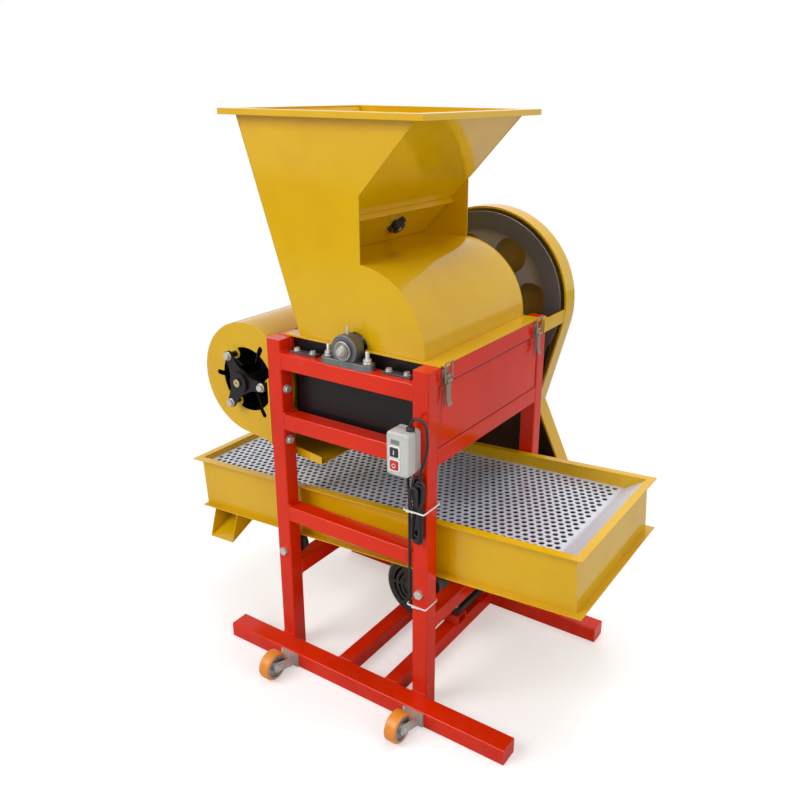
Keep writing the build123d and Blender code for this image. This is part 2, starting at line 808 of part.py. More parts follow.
lever_low = leg_height - 83
lever_half = ear_inside - 0.5
for name, depth in zip(("front", "rear"), latch_depths):
    with BuildPart() as latch_lever:
        lever_depths = (depth - lever_half, depth + lever_half)
        round_bar(4.2, latch_pin, lever_depths)
        round_bar(4.2, loop_pin, lever_depths)
        with BuildSketch(facing(depth + lever_half)):
            with BuildLine():
                Polyline(
                    (latch_pin[0], latch_pin[1]),
                    (loop_pin[0], loop_pin[1]),
                    (loop_pin[0] + 1, lever_low + 12),
                    (loop_pin[0] + 5, lever_low),
                    (loop_pin[0] + 3, lever_low),
                    (loop_pin[0] - 1.5, lever_low + 12),
                    (loop_pin[0] - 2.5, loop_pin[1]),
                    close=True,
                )
            make_face()
        extrude(amount=2 * lever_half)
        round_bar(2 + fit, latch_pin, lever_depths, mode=Mode.SUBTRACT)
        round_bar(wire + fit, loop_pin, lever_depths, mode=Mode.SUBTRACT)
    latch_lever.part.label = f"{name}_latch_lever"
    export_step(latch_lever.part, f"parts/{name}_latch_lever.step")

    with BuildPart() as latch_loop:
        for z in (loop_pin[1], loop_top):
            round_bar(wire, (loop_pin[0], z), (depth - loop_half, depth + loop_half))
        for side in (-1, 1):
            with Locations((loop_pin[0], behind(depth + side * loop_half), (loop_pin[1] + loop_top) / 2)):
                Cylinder(wire, loop_top - loop_pin[1])
            for z in (loop_pin[1], loop_top):
                with Locations((loop_pin[0], behind(depth + side * loop_half), z)):
                    Sphere(wire)
    latch_loop.part.label = f"{name}_latch_loop"
    export_step(latch_loop.part, f"parts/{name}_latch_loop.step")

# Sieve tray: walls with outward flanges above and below, and ledges under the deck
tray_width = frame_depth - 2 * tray_inset
wall_out_x = tray_length / 2 - tray_flange
wall_out_y = tray_width / 2 - tray_flange
deck_fall = (deck_drop_high - deck_drop_low) / (2 * (wall_out_x - sheet))
deck_drop = (deck_drop_high + deck_drop_low) / 2
ledge = 12.0
with BuildPart(sieve_plane) as tray_frame:
    with Locations((0, 0, -tray_height / 2)):
        Box(2 * wall_out_x, 2 * wall_out_y, tray_height)
    with Locations((0, 0, -sheet / 2)):
        Box(tray_length, tray_width, sheet)
    with Locations((tray_flange / 2, 0, sheet / 2 - tray_height)):
        Box(tray_length - tray_flange, tray_width, sheet)
    with Locations((0, 0, -tray_height / 2)):
        Box(2 * (wall_out_x - sheet), 2 * (wall_out_y - sheet), tray_height, mode=Mode.SUBTRACT)
    with Locations(Location((0, 0, -deck_drop - sheet / 2), (0, degrees(deck_fall), 0))):
        with GridLocations(0, 2 * (wall_out_y - sheet) - ledge, 1, 2):
            with Locations((0, 0, -sheet)):
                Box(2 * (wall_out_x - sheet) - 2, ledge, sheet)
tray_frame.part.label = "tray_frame"
export_step(tray_frame.part, "parts/tray_frame.step")

# Perforated deck, less steep than the rim, its high end bent up as a lip, and the closed floor under it
deck_end = wall_out_x - sheet - 1
lip_foot = deck_end - deck_lip
deck_half = wall_out_y - sheet - 0.5
lip_top = -sheet - 1
with BuildPart() as sieve_deck:
    with BuildSketch(Plane(origin=sieve_plane.from_local_coords((0, deck_half, 0)),
                           x_dir=sieve_plane.x_dir, z_dir=(0, -1, 0))):
        with BuildLine():
            Polyline(
                (-deck_end, -deck_drop + deck_end * deck_fall),
                (lip_foot, -deck_drop - lip_foot * deck_fall),
                (deck_end, lip_top),
                (deck_end, lip_top - 1.2 * sheet),
                (lip_foot, -deck_drop - lip_foot * deck_fall - sheet),
                (-deck_end, -deck_drop + deck_end * deck_fall - sheet),
                close=True,
            )
        make_face()
    extrude(amount=2 * deck_half)
sieve_deck.part.label = "sieve_deck"
export_step(sieve_deck.part, "parts/sieve_deck.step")

chute_right = chute_left + chute_width
chute_slot = (chute_left + sheet, chute_right - sheet)
chute_depths = (tray_inset + tray_flange + sheet, chute_back)
with BuildPart(sieve_plane) as tray_floor:
    with Locations((0, 0, sheet / 2 - tray_height)):
        Box(2 * (wall_out_x - sheet), 2 * (wall_out_y - sheet), sheet)
    with Locations(
        (
            (chute_slot[0] + chute_slot[1]) / 2,
            (chute_depths[0] + chute_depths[1]) / 2 - tray_middle,
            sheet / 2 - tray_height,
        )
    ):
        Box(chute_slot[1] - chute_slot[0], chute_depths[1] - chute_depths[0], sheet, mode=Mode.SUBTRACT)
tray_floor.part.label = "tray_floor"
export_step(tray_floor.part, "parts/tray_floor.step")

# Outlet chute: a sloping floor between two three-cornered cheeks, open to the front
chute_plane = Plane(
    origin=sieve_plane.from_local_coords((chute_right, -tray_middle, -tray_height)),
    x_dir=(0, 1, 0),
    z_dir=(tilt_cos, 0, tilt_sin),
)
floor_rise = sheet / cos(atan2(chute_drop, chute_back - chute_front))
with BuildPart() as outlet_chute:
    with BuildSketch(chute_plane):
        with BuildLine():
            Polyline(
                (chute_back, 0),
                (tray_inset, 0),
                (chute_front, -chute_drop + floor_rise),
                (chute_front, -chute_drop),
                close=True,
            )
        make_face()
    extrude(amount=-chute_width)
    with BuildSketch(chute_plane.offset(-sheet)):
        with BuildLine():
            Polyline(
                (chute_back, floor_rise),
                (tray_inset - 30, floor_rise),
                (chute_front - 10, floor_rise - chute_drop * (1 + 10 / (chute_back - chute_front))),
                close=True,
            )
        make_face()
    extrude(amount=-(chute_width - 2 * sheet), mode=Mode.SUBTRACT)
outlet_chute.part.label = "outlet_chute"
export_step(outlet_chute.part, "parts/outlet_chute.step")

# Rollers on bolts through the legs carry the tray's lower flange
roller_depths = (
    (tray_inset, tray_inset + roller_width),
    (frame_depth - tray_inset - roller_width, frame_depth - tray_inset),
)
for name, x in (("left", -leg_x), ("right", leg_x)):
    with BuildPart() as sieve_rollers:
        for depths in roller_depths:
            round_bar(roller_radius, roller_centre(x), depths)
        fillet(sieve_rollers.edges().filter_by(GeomType.CIRCLE), 1.5)
        for depths in roller_depths:
            round_bar(roller_bolt + fit, roller_centre(x), depths, mode=Mode.SUBTRACT)
    sieve_rollers.part.label = f"{name}_rollers"
    export_step(sieve_rollers.part, f"parts/{name}_rollers.step")

bolt_head = 8.0
with BuildPart() as roller_bolts:
    for x in (-leg_x, leg_x):
        place = roller_centre(x)
        round_bar(roller_bolt, place, (0, roller_depths[0][1] + 6))
        hex_head(11, place, (-bolt_head, 0))
        hex_head(10, place, (roller_depths[0][1] + gap, roller_depths[0][1] + 6))
        round_bar(10, place, (tube, roller_depths[0][0] - gap))
        round_bar(roller_bolt, place, (roller_depths[1][0] - 6, frame_depth))
        hex_head(11, place, (frame_depth, frame_depth + bolt_head))
        hex_head(10, place, (roller_depths[1][0] - 6, roller_depths[1][0] - gap))
        round_bar(10, place, (roller_depths[1][1] + gap, back_leg))
roller_bolts.part.label = "roller_bolts"
export_step(roller_bolts.part, "parts/roller_bolts.step")

# Eccentric shaft with its disc, at the top of its throw when at rest
eccentric_depth = back_leg - 45
with BuildPart() as eccentric_shaft:
    round_bar(eccentric_shaft_radius, eccentric, (eccentric_depth - 14, sieve_belt + 9))
    round_bar(
        eccentric_radius,
        (eccentric[0], eccentric[1] + throw),
        (eccentric_depth - strap_width / 2, eccentric_depth + strap_width / 2),
    )
eccentric_shaft.part.label = "eccentric_shaft"
export_step(eccentric_shaft.part, "parts/eccentric_shaft.step")

with BuildPart() as eccentric_pulley:
    small_pulley(eccentric, eccentric_pulley_radius, sieve_belt, eccentric_shaft_radius)
eccentric_pulley.part.label = "eccentric_pulley"
export_step(eccentric_pulley.part, "parts/eccentric_pulley.step")

# Shaker rod: strap round the eccentric, rod along the tray and foot under its floor
strap_local = sieve_plane.to_local_coords(Vector(eccentric[0], behind(eccentric_depth), eccentric[1]))
rod_foot = -60.0
rod_height = 22.0
with BuildPart() as shaker_rod:
    round_bar(
        strap_radius,
        eccentric,
        (eccentric_depth - strap_width / 2, eccentric_depth + strap_width / 2),
    )
    with BuildSketch(Plane(origin=sieve_plane.from_local_coords((0, strap_local.Y + 6, 0)),
                           x_dir=sieve_plane.x_dir, z_dir=(0, -1, 0))):
        with BuildLine():
            Polyline(
                (strap_local.X, strap_local.Z - rod_height / 2),
                (strap_local.X, strap_local.Z + rod_height / 2),
                (rod_foot + 40, strap_local.Z + rod_height / 2),
                (rod_foot + 20, -tray_height),
                (rod_foot - 40, -tray_height),
                (rod_foot - 20, strap_local.Z - rod_height / 2),
                close=True,
            )
        make_face()
    extrude(amount=12)
    round_bar(
        strap_radius - strap_wall,
        eccentric,
        (eccentric_depth - strap_width / 2, eccentric_depth + strap_width / 2),
        mode=Mode.SUBTRACT,
    )
shaker_rod.part.label = "shaker_rod"
export_step(shaker_rod.part, "parts/shaker_rod.step")

# Motor: finned body with end shield and feet, ringed fan cover, terminal box
cover_length = 68.0
body_front = motor_front + cover_length - 6
body_back = back_leg - 22
shield_back = back_leg - 4
boss_back = back_leg + 45
fin_count = 28
terminal_depths = (motor_front + terminal_setback, motor_front + terminal_setback + terminal_length)
terminal_top = motor[1] + terminal_rise
with BuildPart() as motor_body:
    slab((motor_x - 36, motor_x + 36), terminal_depths, (motor[1], terminal_top))
    fillet(motor_body.edges().filter_by(Axis.Z), 6)
    fillet(motor_body.faces().sort_by(Axis.Z)[-1].edges(), 3)
    round_bar(motor_body_radius, motor, (body_front, body_back))
    with BuildSketch(facing(body_back - 12)):
        with Locations(motor):
            with PolarLocations(motor_body_radius + 3, fin_count):
                Rectangle(12, 3.5)
    extrude(amount=body_back - body_front - 24)
    round_bar(motor_cover_radius - 2 - fit, motor, (body_front, body_front + 8))
    with Locations((motor[0], behind((body_back + shield_back) / 2), motor[1])):
        Cone(motor_body_radius, boss_radius, shield_back - body_back, rotation=(-90, 0, 0))
    round_bar(boss_radius, motor, (shield_back - 1, boss_back))
    with BuildSketch(facing(foot_depths[1])):
        with BuildLine():
            Polyline(
                (motor_x - motor_foot_x / 2 - 20, slide_top),
                (motor_x + motor_foot_x / 2 + 20, slide_top),
                (motor_x + motor_foot_x / 2 + 20, foot_top),
                (motor_x + motor_foot_x / 2 - 14, foot_top),
                (motor_x + motor_foot_x / 2 - 20, foot_top + 22),
                (motor_x - motor_foot_x / 2 + 20, foot_top + 22),
                (motor_x - motor_foot_x / 2 + 14, foot_top),
                (motor_x - motor_foot_x / 2 - 20, foot_top),
                close=True,
            )
        make_face()
    extrude(amount=foot_depths[1] - foot_depths[0])
    round_bar(motor_shaft_radius + fit, motor, (body_front, boss_back), mode=Mode.SUBTRACT)
motor_body.part.label = "motor_body"
export_step(motor_body.part, "parts/motor_body.step")

with BuildPart() as motor_fan_cover:
    face_y = behind(motor_front)
    edge_y = behind(motor_front + cover_length)
    with BuildSketch(Plane.YZ.offset(motor[0])):
        with BuildLine():
            top = motor[1] + motor_cover_radius
            FilletPolyline((edge_y, top), (face_y, top), (face_y, motor[1]), radius=12)
            FilletPolyline((edge_y, top - 2), (face_y + 3, top - 2), (face_y + 3, motor[1]), radius=9)
            Line((edge_y, top), (edge_y, top - 2))
            Line((face_y, motor[1]), (face_y + 3, motor[1]))
        make_face()
    revolve(axis=Axis((motor[0], 0, motor[1]), (0, 1, 0)))
    for radius in (32, 46, 60):
        with BuildSketch(facing(motor_front + 3)):
            with Locations(motor):
                Circle(radius + 3)
                Circle(radius - 3, mode=Mode.SUBTRACT)
                for angle in (0, 60, 120):
                    Rectangle(150, 8, rotation=angle, mode=Mode.SUBTRACT)
        extrude(amount=3, mode=Mode.SUBTRACT)
motor_fan_cover.part.label = "motor_fan_cover"
export_step(motor_fan_cover.part, "parts/motor_fan_cover.step")

with BuildPart() as motor_shaft:
    round_bar(motor_shaft_radius, motor, (motor_front + 16, sieve_belt + 11))
    round_bar(motor_cover_radius - 22, motor, (motor_front + 26, motor_front + 32))
motor_shaft.part.label = "motor_shaft"
export_step(motor_shaft.part, "parts/motor_shaft.step")

# Stepped motor pulley: two grooves for the flywheel and one for the sieve
pulley_depths = (main_belts[0] - 10, main_belts[1] + 10)
with BuildPart() as motor_pulley:
    round_bar(motor_pulley_radius, motor, pulley_depths)
    round_bar(sieve_drive_radius, motor, (pulley_depths[1], sieve_belt + 10))
    round_bar(motor_shaft_radius + 12, motor, (boss_back + 8, pulley_depths[0]))
    round_bar(motor_shaft_radius + fit, motor, (boss_back + 8, sieve_belt + 10), mode=Mode.SUBTRACT)
    for depth in main_belts:
        v_groove(motor, motor_pulley_radius, depth)
    v_groove(motor, sieve_drive_radius, sieve_belt)
motor_pulley.part.label = "motor_pulley"
export_step(motor_pulley.part, "parts/motor_pulley.step")

# V-belts: two from motor to flywheel, one to the sieve, one from drum to fan
belt_runs = [(drum, flywheel_radius, motor, motor_pulley_radius, depth) for depth in main_belts]
belt_runs.append((eccentric, eccentric_pulley_radius, motor, sieve_drive_radius, sieve_belt))
belt_runs.append((drum, fan_drive_radius, fan, fan_pulley_radius, fan_belt))
with BuildPart() as drive_belts:
    for first, first_radius, second, second_radius, depth in belt_runs:
        seat = belt_seat
        heading, spread = contact(first, first_radius, second, second_radius)
        with BuildLine(facing(depth)) as belt_path:
            CenterArc(first, first_radius - seat, heading + spread, 360 - 2 * spread)
            Line(
                on_circle(first, first_radius - seat, heading - spread),
                on_circle(second, second_radius - seat, heading - spread),
            )
            CenterArc(second, second_radius - seat, heading - spread, 2 * spread)
            Line(
                on_circle(second, second_radius - seat, heading + spread),
                on_circle(first, first_radius - seat, heading + spread),
            )
        start = on_circle(first, first_radius - seat, heading + spread)
        outward = radians(heading + spread)
        section_plane = Plane(
            origin=(start[0], behind(depth), start[1]),
            x_dir=(cos(outward), 0, sin(outward)),
            z_dir=(-sin(outward), 0, cos(outward)),
        )
        with BuildSketch(section_plane):
            with BuildLine():
                Polyline(
                    (0, 3 - belt_width / 2),
                    (0, belt_width / 2 - 3),
                    (belt_height, belt_width / 2),
                    (belt_height, -belt_width / 2),
                    close=True,
                )
            make_face()
        sweep(path=belt_path.wire())
drive_belts.part.label = "drive_belts"
export_step(drive_belts.part, "parts/drive_belts.step")

# Belt guard: a sheet band round the pulleys with a closed back, a narrow front lip and arms to the rear legs
waist = (
    on_circle(drum, guard_radius, -guard_lean)[0]
    - (guard_waist - guard_radius * sin(radians(guard_lean))) * tan(radians(guard_lean)),
    drum[1] - guard_waist,
)
waist_run = (waist[0] - eccentric[0], waist[1] - eccentric[1])
waist_angle = degrees(atan2(waist_run[1], waist_run[0]) - acos(guard_low_radius / hypot(*waist_run)))
left_heading, left_spread = contact(drum, guard_radius, motor, guard_motor_radius)
low_heading, low_spread = contact(motor, guard_motor_radius, eccentric, guard_low_radius)
left_angle = left_heading - left_spread
low_angle = low_heading - low_spread
guard_sheet = 2.0
guard_lip = 5.0
arm_start = back_leg + 6
arm_end = guard_front + guard_sheet / 2
arm_out = guard_radius - guard_lip + 1
arm_top = leg_height - 1.5
with BuildSketch(facing(guard_back)) as guard_outline:
    with BuildLine():
        CenterArc(drum, guard_radius, -guard_lean, 360 + left_angle + guard_lean)
        Line(on_circle(drum, guard_radius, left_angle), on_circle(motor, guard_motor_radius, left_angle))
        CenterArc(motor, guard_motor_radius, left_angle, low_angle - left_angle)
        Line(
            on_circle(motor, guard_motor_radius, low_angle),
            on_circle(eccentric, guard_low_radius, low_angle),
        )
        CenterArc(eccentric, guard_low_radius, low_angle, waist_angle - low_angle)
        Line(on_circle(eccentric, guard_low_radius, waist_angle), waist)
        Line(waist, on_circle(drum, guard_radius, -guard_lean))
    make_face()
with BuildSketch(facing(guard_back)) as guard_inside:
    add(guard_outline.sketch)
    offset(amount=-guard_sheet, mode=Mode.REPLACE)
with BuildSketch(facing(guard_back)) as guard_opening:
    add(guard_outline.sketch)
    offset(amount=-guard_lip, mode=Mode.REPLACE)
with BuildPart() as belt_guard:
    extrude(guard_outline.sketch, amount=guard_depth)
    inside = guard_inside.sketch.moved(Location((0, -guard_sheet, 0)))
    extrude(inside, amount=guard_depth - 2 * guard_sheet, mode=Mode.SUBTRACT)
    extrude(guard_opening.sketch.moved(Location((0, -guard_sheet, 0))), amount=guard_depth, mode=Mode.SUBTRACT)
    slab((outer_x, arm_out), (arm_start, frame_depth - 6), (arm_top - 33, arm_top))
    slab((arm_out - plate, arm_out), (arm_start, arm_end), (arm_top - 33, arm_top))
    slab((-outer_x - plate, -outer_x), (arm_start, arm_end), (arm_top - 78, arm_top - 50))
    slab(
        (outer_x - 12, eccentric[0] + guard_low_radius - 9),
        (frame_depth, arm_end),
        (eccentric[1] + 45, eccentric[1] + 51),
    )
belt_guard.part.label = "belt_guard"
export_step(belt_guard.part, "parts/belt_guard.step")

# Fan: wrapped shell with a duct under the drum, and two end plates with inlets
duct_angle = 270 - duct_fall
duct_floor_start = on_circle(fan, fan_radius, duct_angle)
duct_slope = tan(radians(duct_fall))
mouth_floor = duct_floor_start[1] - (duct_mouth_x - duct_floor_start[0]) * duct_slope
tongue = on_circle(fan, fan_radius, -33)
mouth_roof = mouth_floor + duct_height
roof_end = -leg_x
roof_floor = duct_floor_start[1] - (roof_end - duct_floor_start[0]) * duct_slope
with BuildSketch(facing(fan_depths[1])) as fan_outline:
    with Locations(fan):
        Circle(fan_radius)
    with BuildLine():
        Polyline(fan, duct_floor_start, (duct_mouth_x, mouth_floor), (duct_mouth_x, mouth_roof), tongue, close=True)
    make_face()
with BuildSketch(facing(fan_depths[1])) as fan_inside:
    add(fan_outline.sketch)
    offset(amount=-2, mode=Mode.REPLACE)
fan_lug = 4.0
lug_rows = ((0, fan_depths[0]), (fan_depths[1], frame_depth))
with BuildPart() as fan_housing:
    extrude(fan_outline.sketch.moved(Location((0, -2, 0))), amount=fan_depths[1] - fan_depths[0] - 4)
    extrude(fan_inside.sketch, amount=fan_depths[1] - fan_depths[0], mode=Mode.SUBTRACT)
    slab(
        (duct_mouth_x - 6, duct_mouth_x),
        fan_depths,
        (mouth_floor + 3.5, mouth_roof - 2),
        mode=Mode.SUBTRACT,
    )
    for back in (fan_depths[0] + 2, fan_depths[1]):
        extrude(
            fan_outline.sketch.moved(Location((0, back - fan_depths[1], 0))),
            amount=2,
        )
    with BuildSketch(facing(fan_depths[1])):
        with BuildLine():
            Polyline(
                (roof_end, roof_floor + duct_lip),
                (duct_mouth_x + 1, mouth_floor + duct_lip),
                (duct_mouth_x + 1, mouth_roof + 40),
                (roof_end, mouth_roof + 40),
                close=True,
            )
        make_face()
    extrude(amount=fan_depths[1] - fan_depths[0], mode=Mode.SUBTRACT)
    for back in (fan_depths[0] + 2, fan_depths[1]):
        with BuildSketch(facing(back)):
            with Locations(fan):
                Circle(fan_inlet)
                with PolarLocations(spider_radius, 3):
                    Circle(13, mode=Mode.SUBTRACT)
                with PolarLocations(fan_inlet, 3):
                    Rectangle(2 * (fan_inlet - spider_radius), 26, mode=Mode.SUBTRACT)
                with PolarLocations((fan_inlet + fan_slot_reach) / 2 - 6, 3, start_angle=60):
                    SlotOverall(fan_slot_reach - fan_inlet + 12, 13)
        extrude(amount=2, mode=Mode.SUBTRACT)
    for row in lug_rows:
        slab((-outer_x - fan_lug, -outer_x), row, (fan[1] - 130, fan[1] + 36))
fan_housing.part.label = "fan_housing"
export_step(fan_housing.part, "parts/fan_housing.step")

# Three-armed bearing carriers on spacers in front of and behind the fan
with BuildPart() as fan_spiders:
    for face, side in zip(fan_depths, (-1, 1)):
        carrier = sorted((face + side * spider_gap, face + side * (spider_gap + spider_plate)))
        with BuildSketch(facing(carrier[1])):
            with Locations(fan):
                Circle(32)
                with PolarLocations(spider_radius / 2, 3):
                    Rectangle(spider_radius, 24)
                with PolarLocations(spider_radius, 3):
                    Circle(12)
        extrude(amount=spider_plate)
        round_bar(26, fan, sorted((face + side * (spider_gap - 8), face + side * (spider_gap + 14))))
        round_bar(fan_shaft_radius + fit, fan, (face - 60, face + 60), mode=Mode.SUBTRACT)
        for number in range(3):
            place = on_circle(fan, spider_radius, 120 * number)
            round_bar(7, place, sorted((face, face + side * spider_gap)))
fan_spiders.part.label = "fan_spiders"
export_step(fan_spiders.part, "parts/fan_spiders.step")

# Impeller: flat paddles welded to two discs on the fan shaft
fan_shaft_front = fan_depths[0] - spider_gap - 18
blade_root = 40.0
disc_depths = (frame_depth / 2 - 120, frame_depth / 2 + 120)
blade_depths = (fan_depths[0] + 16, fan_depths[1] - 16)
with BuildPart() as fan_impeller:
    round_bar(fan_shaft_radius, fan, (fan_shaft_front, fan_belt + 11))
    for depth in disc_depths:
        round_bar(62, fan, (depth - 2, depth + 2))
        round_bar(20, fan, (depth - 14, depth + 14))
    with BuildSketch(facing(blade_depths[1])):
        with Locations(fan):
            with PolarLocations((blade_root + blade_radius) / 2, blade_count):
                Rectangle(blade_radius - blade_root, 3)
    extrude(amount=blade_depths[1] - blade_depths[0])
fan_impeller.part.label = "fan_impeller"
export_step(fan_impeller.part, "parts/fan_impeller.step")

with BuildPart() as fan_pulley:
    small_pulley(fan, fan_pulley_radius, fan_belt, fan_shaft_radius)
fan_pulley.part.label = "fan_pulley"
export_step(fan_pulley.part, "parts/fan_pulley.step")

# Casters on the front skid: pressed forks and two wheels
fork_inside = caster_width / 2 + 1
fork_sheet = 2.5
axle_radius = 5.0
caster_depth = -caster_reach
fork_top = skid_height - 2
fork_end = caster_radius - caster_reach + 3
with BuildPart() as caster_forks:
    for x in caster_x:
        slab((x - 27, x + 27), (-skid_depth - plate, -skid_depth), (3, fork_top))
        slab(
            (x - fork_inside - fork_sheet, x + fork_inside + fork_sheet),
            (fork_end, -skid_depth),
            (fork_top - fork_sheet, fork_top),
        )
        for side in (-1, 1):
            cheek = sorted((x + side * fork_inside, x + side * (fork_inside + fork_sheet)))
            with BuildSketch(Plane.YZ.offset(cheek[1])):
                with BuildLine():
                    Polyline(
                        (behind(-skid_depth), 6),
                        (behind(-skid_depth), fork_top),
                        (behind(fork_end), fork_top),
                        (behind(caster_depth + 2), caster_axle_z + 13),
                        (behind(caster_depth + 2), caster_axle_z - 13),
                        (behind(fork_end + 6), 12),
                        close=True,
                    )
                make_face()
                with Locations((behind(caster_depth), caster_axle_z)):
                    Circle(13)
            extrude(amount=-fork_sheet)
        with Locations((x, behind(caster_depth), caster_axle_z)):
            Cylinder(axle_radius, 2 * fork_inside + 17, rotation=(0, 90, 0))
        for side in (-1, 1):
            with BuildSketch(Plane.YZ.offset(x + side * (fork_inside + fork_sheet))):
                with Locations((behind(caster_depth), caster_axle_z)):
                    RegularPolygon(9.5, 6)
            extrude(amount=side * 5)
caster_forks.part.label = "caster_forks"
export_step(caster_forks.part, "parts/caster_forks.step")

for name, x in zip(("left", "right"), caster_x):
    with BuildPart() as caster_wheel:
        with Locations((x, behind(caster_depth), caster_axle_z)):
            Cylinder(caster_radius, caster_width, rotation=(0, 90, 0))
            fillet(caster_wheel.edges().filter_by(GeomType.CIRCLE), 5)
            for side in (-1, 1):
                with Locations((side * (caster_width / 2 - 2), 0, 0)):
                    Cylinder(caster_radius - 10, 4, rotation=(0, 90, 0), mode=Mode.SUBTRACT)
            Cylinder(11, caster_width + 1, rotation=(0, 90, 0))
            Cylinder(axle_radius + fit, caster_width + 2, rotation=(0, 90, 0), mode=Mode.SUBTRACT)
    caster_wheel.part.label = f"{name}_caster_wheel"
    export_step(caster_wheel.part, f"parts/{name}_caster_wheel.step")

# Switch box on the right front leg, with two push buttons and a cable gland
box_x = (outer_x - 18 - box_width, outer_x - 18)
box_z = (box_low, box_low + box_height)
button_x = box_x[0] + 21
button_rows = (("start", box_low + 53), ("stop", box_low + 24))
with BuildPart() as switch_box:
    slab(box_x, (-box_depth, 0), box_z)
    fillet(switch_box.edges().filter_by(Axis.Y), 9)
    fillet(switch_box.faces().sort_by(Axis.Y)[0].edges(), 4)
    slab(
        (button_x - 10, button_x + 12),
        (-box_depth, -box_depth + 2.5),
        (box_z[1] - 28, box_z[1] - 17),
        mode=Mode.SUBTRACT,
    )
    for name, z in button_rows:
        slab(
            (button_x - button_size / 2 - gap, button_x + button_size / 2 + gap),
            (-box_depth, -box_depth + 9),
            (z - button_size / 2 - gap, z + button_size / 2 + gap),
            mode=Mode.SUBTRACT,
        )
switch_box.part.label = "switch_box"
export_step(switch_box.part, "parts/switch_box.step")

for name, z in button_rows:
    with BuildPart() as push_button:
        slab(
            (button_x - button_size / 2, button_x + button_size / 2),
            (-box_depth - button_travel, -box_depth + 5),
            (z - button_size / 2, z + button_size / 2),
        )
        fillet(push_button.edges().filter_by(Axis.Y), 2.5)
        chamfer(push_button.faces().sort_by(Axis.Y)[0].edges(), 1)
    push_button.part.label = f"{name}_button"
    export_step(push_button.part, f"parts/{name}_button.step")

gland = (outer_x - 30, -20.0)
gland_top = box_z[1] + 9
with BuildPart() as cable_gland:
    with BuildSketch(Plane.XY.offset(box_z[1])):
        with Locations((gland[0], behind(gland[1]))):
            RegularPolygon(10.5, 6)
    extrude(amount=6)
    with Locations((gland[0], behind(gland[1]), (box_z[1] + 6 + gland_top) / 2)):
        Cone(8.5, 6, gland_top - box_z[1] - 6)
cable_gland.part.label = "cable_gland"
export_step(cable_gland.part, "parts/cable_gland.step")

# Supply cord from the gland to the hank, and the hank tied to the leg
cord_points = (
    (gland[0], gland[1], gland_top),
    (gland[0], gland[1], 729.0),
    (201.3, -19.5, 740.2),
    (216.6, -18.5, 740.2),
    (227.0, -17.5, 729.2),
    (229.0, -16.5, 702.0),
    (228.0, -15.0, 668.0),
    (220.0, -13.0, 641.0),
    (207.0, -11.5, 622.0),
    (207.0, -11.5, 604.0),
)
hank_x = (182.0, 223.0)
hank_z = (441.0, 604.0)
hank_depths = (-22.0, -1.0)
lead_points = (
    (176.4, -11.0, box_low),
    (176.4, -11.0, 592.0),
    (176.2, -7.0, 566.0),
    (176.4, -3.8, 530.0),
    (176.4, -3.6, 316.0),
    (175.8, 0.0, 276.0),
    (171.0, 12.0, 244.0),
    (163.0, 38.0, 216.0),
    (152.0, 76.0, 203.0),
    (141.0, 122.0, 205.0),
    (motor[0] + 80.0, motor_front - 34.0, motor[1] + 56.0),
    (motor[0] + 71.5, motor_front + 6.0, motor[1] + 68.0),
    (motor[0] + 60.0, motor_front + 44.0, motor[1] + 83.0),
    (motor[0] + 41.0, motor_front + 66.0, motor[1] + 95.0),
    (motor[0] + 27.0, terminal_depths[0] - 16.0, motor[1] + 102.5),
    (motor[0] + 24.0, terminal_depths[0], motor[1] + 103.0),
)


def tube_route(points):
    """Points of a lead in the frame's own place, and the arc radius at each corner."""
    route = [Vector(x, behind(depth), z) for x, depth, z in points]
    radii = []
    for before, here, after in zip(route, route[1:], route[2:]):
        turn = (here - before).get_angle(after - here)
        run = min((here - before).length, (after - here).length)
        radii.append(0.45 * run / tan(radians(turn) / 2))
    return route, radii


for name, points, radius in (("supply_cord", cord_points, cord_radius), ("motor_lead", lead_points, lead_radius)):
    route, radii = tube_route(points)
    print(name, "radii", [round(value) for value in radii])
    with BuildPart() as lead:
        with BuildLine() as lead_path:
            FilletPolyline(*route, radius=radii)
        with BuildSketch(Plane(origin=route[0], z_dir=route[1] - route[0])):
            Circle(radius)
        sweep(path=lead_path.wire())
    print(name, "length", round(lead_path.wire().length), "volume share",
          round(lead.part.volume / (pi * radius**2 * lead_path.wire().length), 4))
    lead.part.label = name
    export_step(lead.part, f"parts/{name}.step")

with BuildPart() as cord_hank:
    with BuildSketch(facing(hank_depths[1])):
        with Locations(((hank_x[0] + hank_x[1]) / 2, (hank_z[0] + hank_z[1]) / 2)):
            RectangleRounded(hank_x[1] - hank_x[0], hank_z[1] - hank_z[0], 13)
    extrude(amount=hank_depths[1] - hank_depths[0])
    fillet(cord_hank.faces().sort_by(Axis.Y)[0].edges(), 5)
cord_hank.part.label = "cord_hank"
export_step(cord_hank.part, "parts/cord_hank.step")

# Two ties round the leg, the upper one over the hank
tie_room = 1.0
tie_width = 3.6
tie_rows = (
    (172.4, hank_x[1] + 2, -22.5, 522.0),
    (172.4, outer_x + tie_room, -8.0, 277.0),
)
with BuildPart() as cable_ties:
    for low, high, front, z in tie_rows:
        for grow, mode in ((1.4, Mode.ADD), (0, Mode.SUBTRACT)):
            with BuildSketch(Plane.XY.offset(z)):
                with Locations(((low + high) / 2, behind((front + tube + tie_room) / 2))):
                    RectangleRounded(high - low + 2 * grow, tube + tie_room - front + 2 * grow, 3 + grow)
            extrude(amount=tie_width, mode=mode)
cable_ties.part.label = "cable_ties"
export_step(cable_ties.part, "parts/cable_ties.step")
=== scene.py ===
import json
from math import cos, hypot, pi, radians, sin, sqrt

import bmesh
import bpy
from mathutils import Matrix, Vector

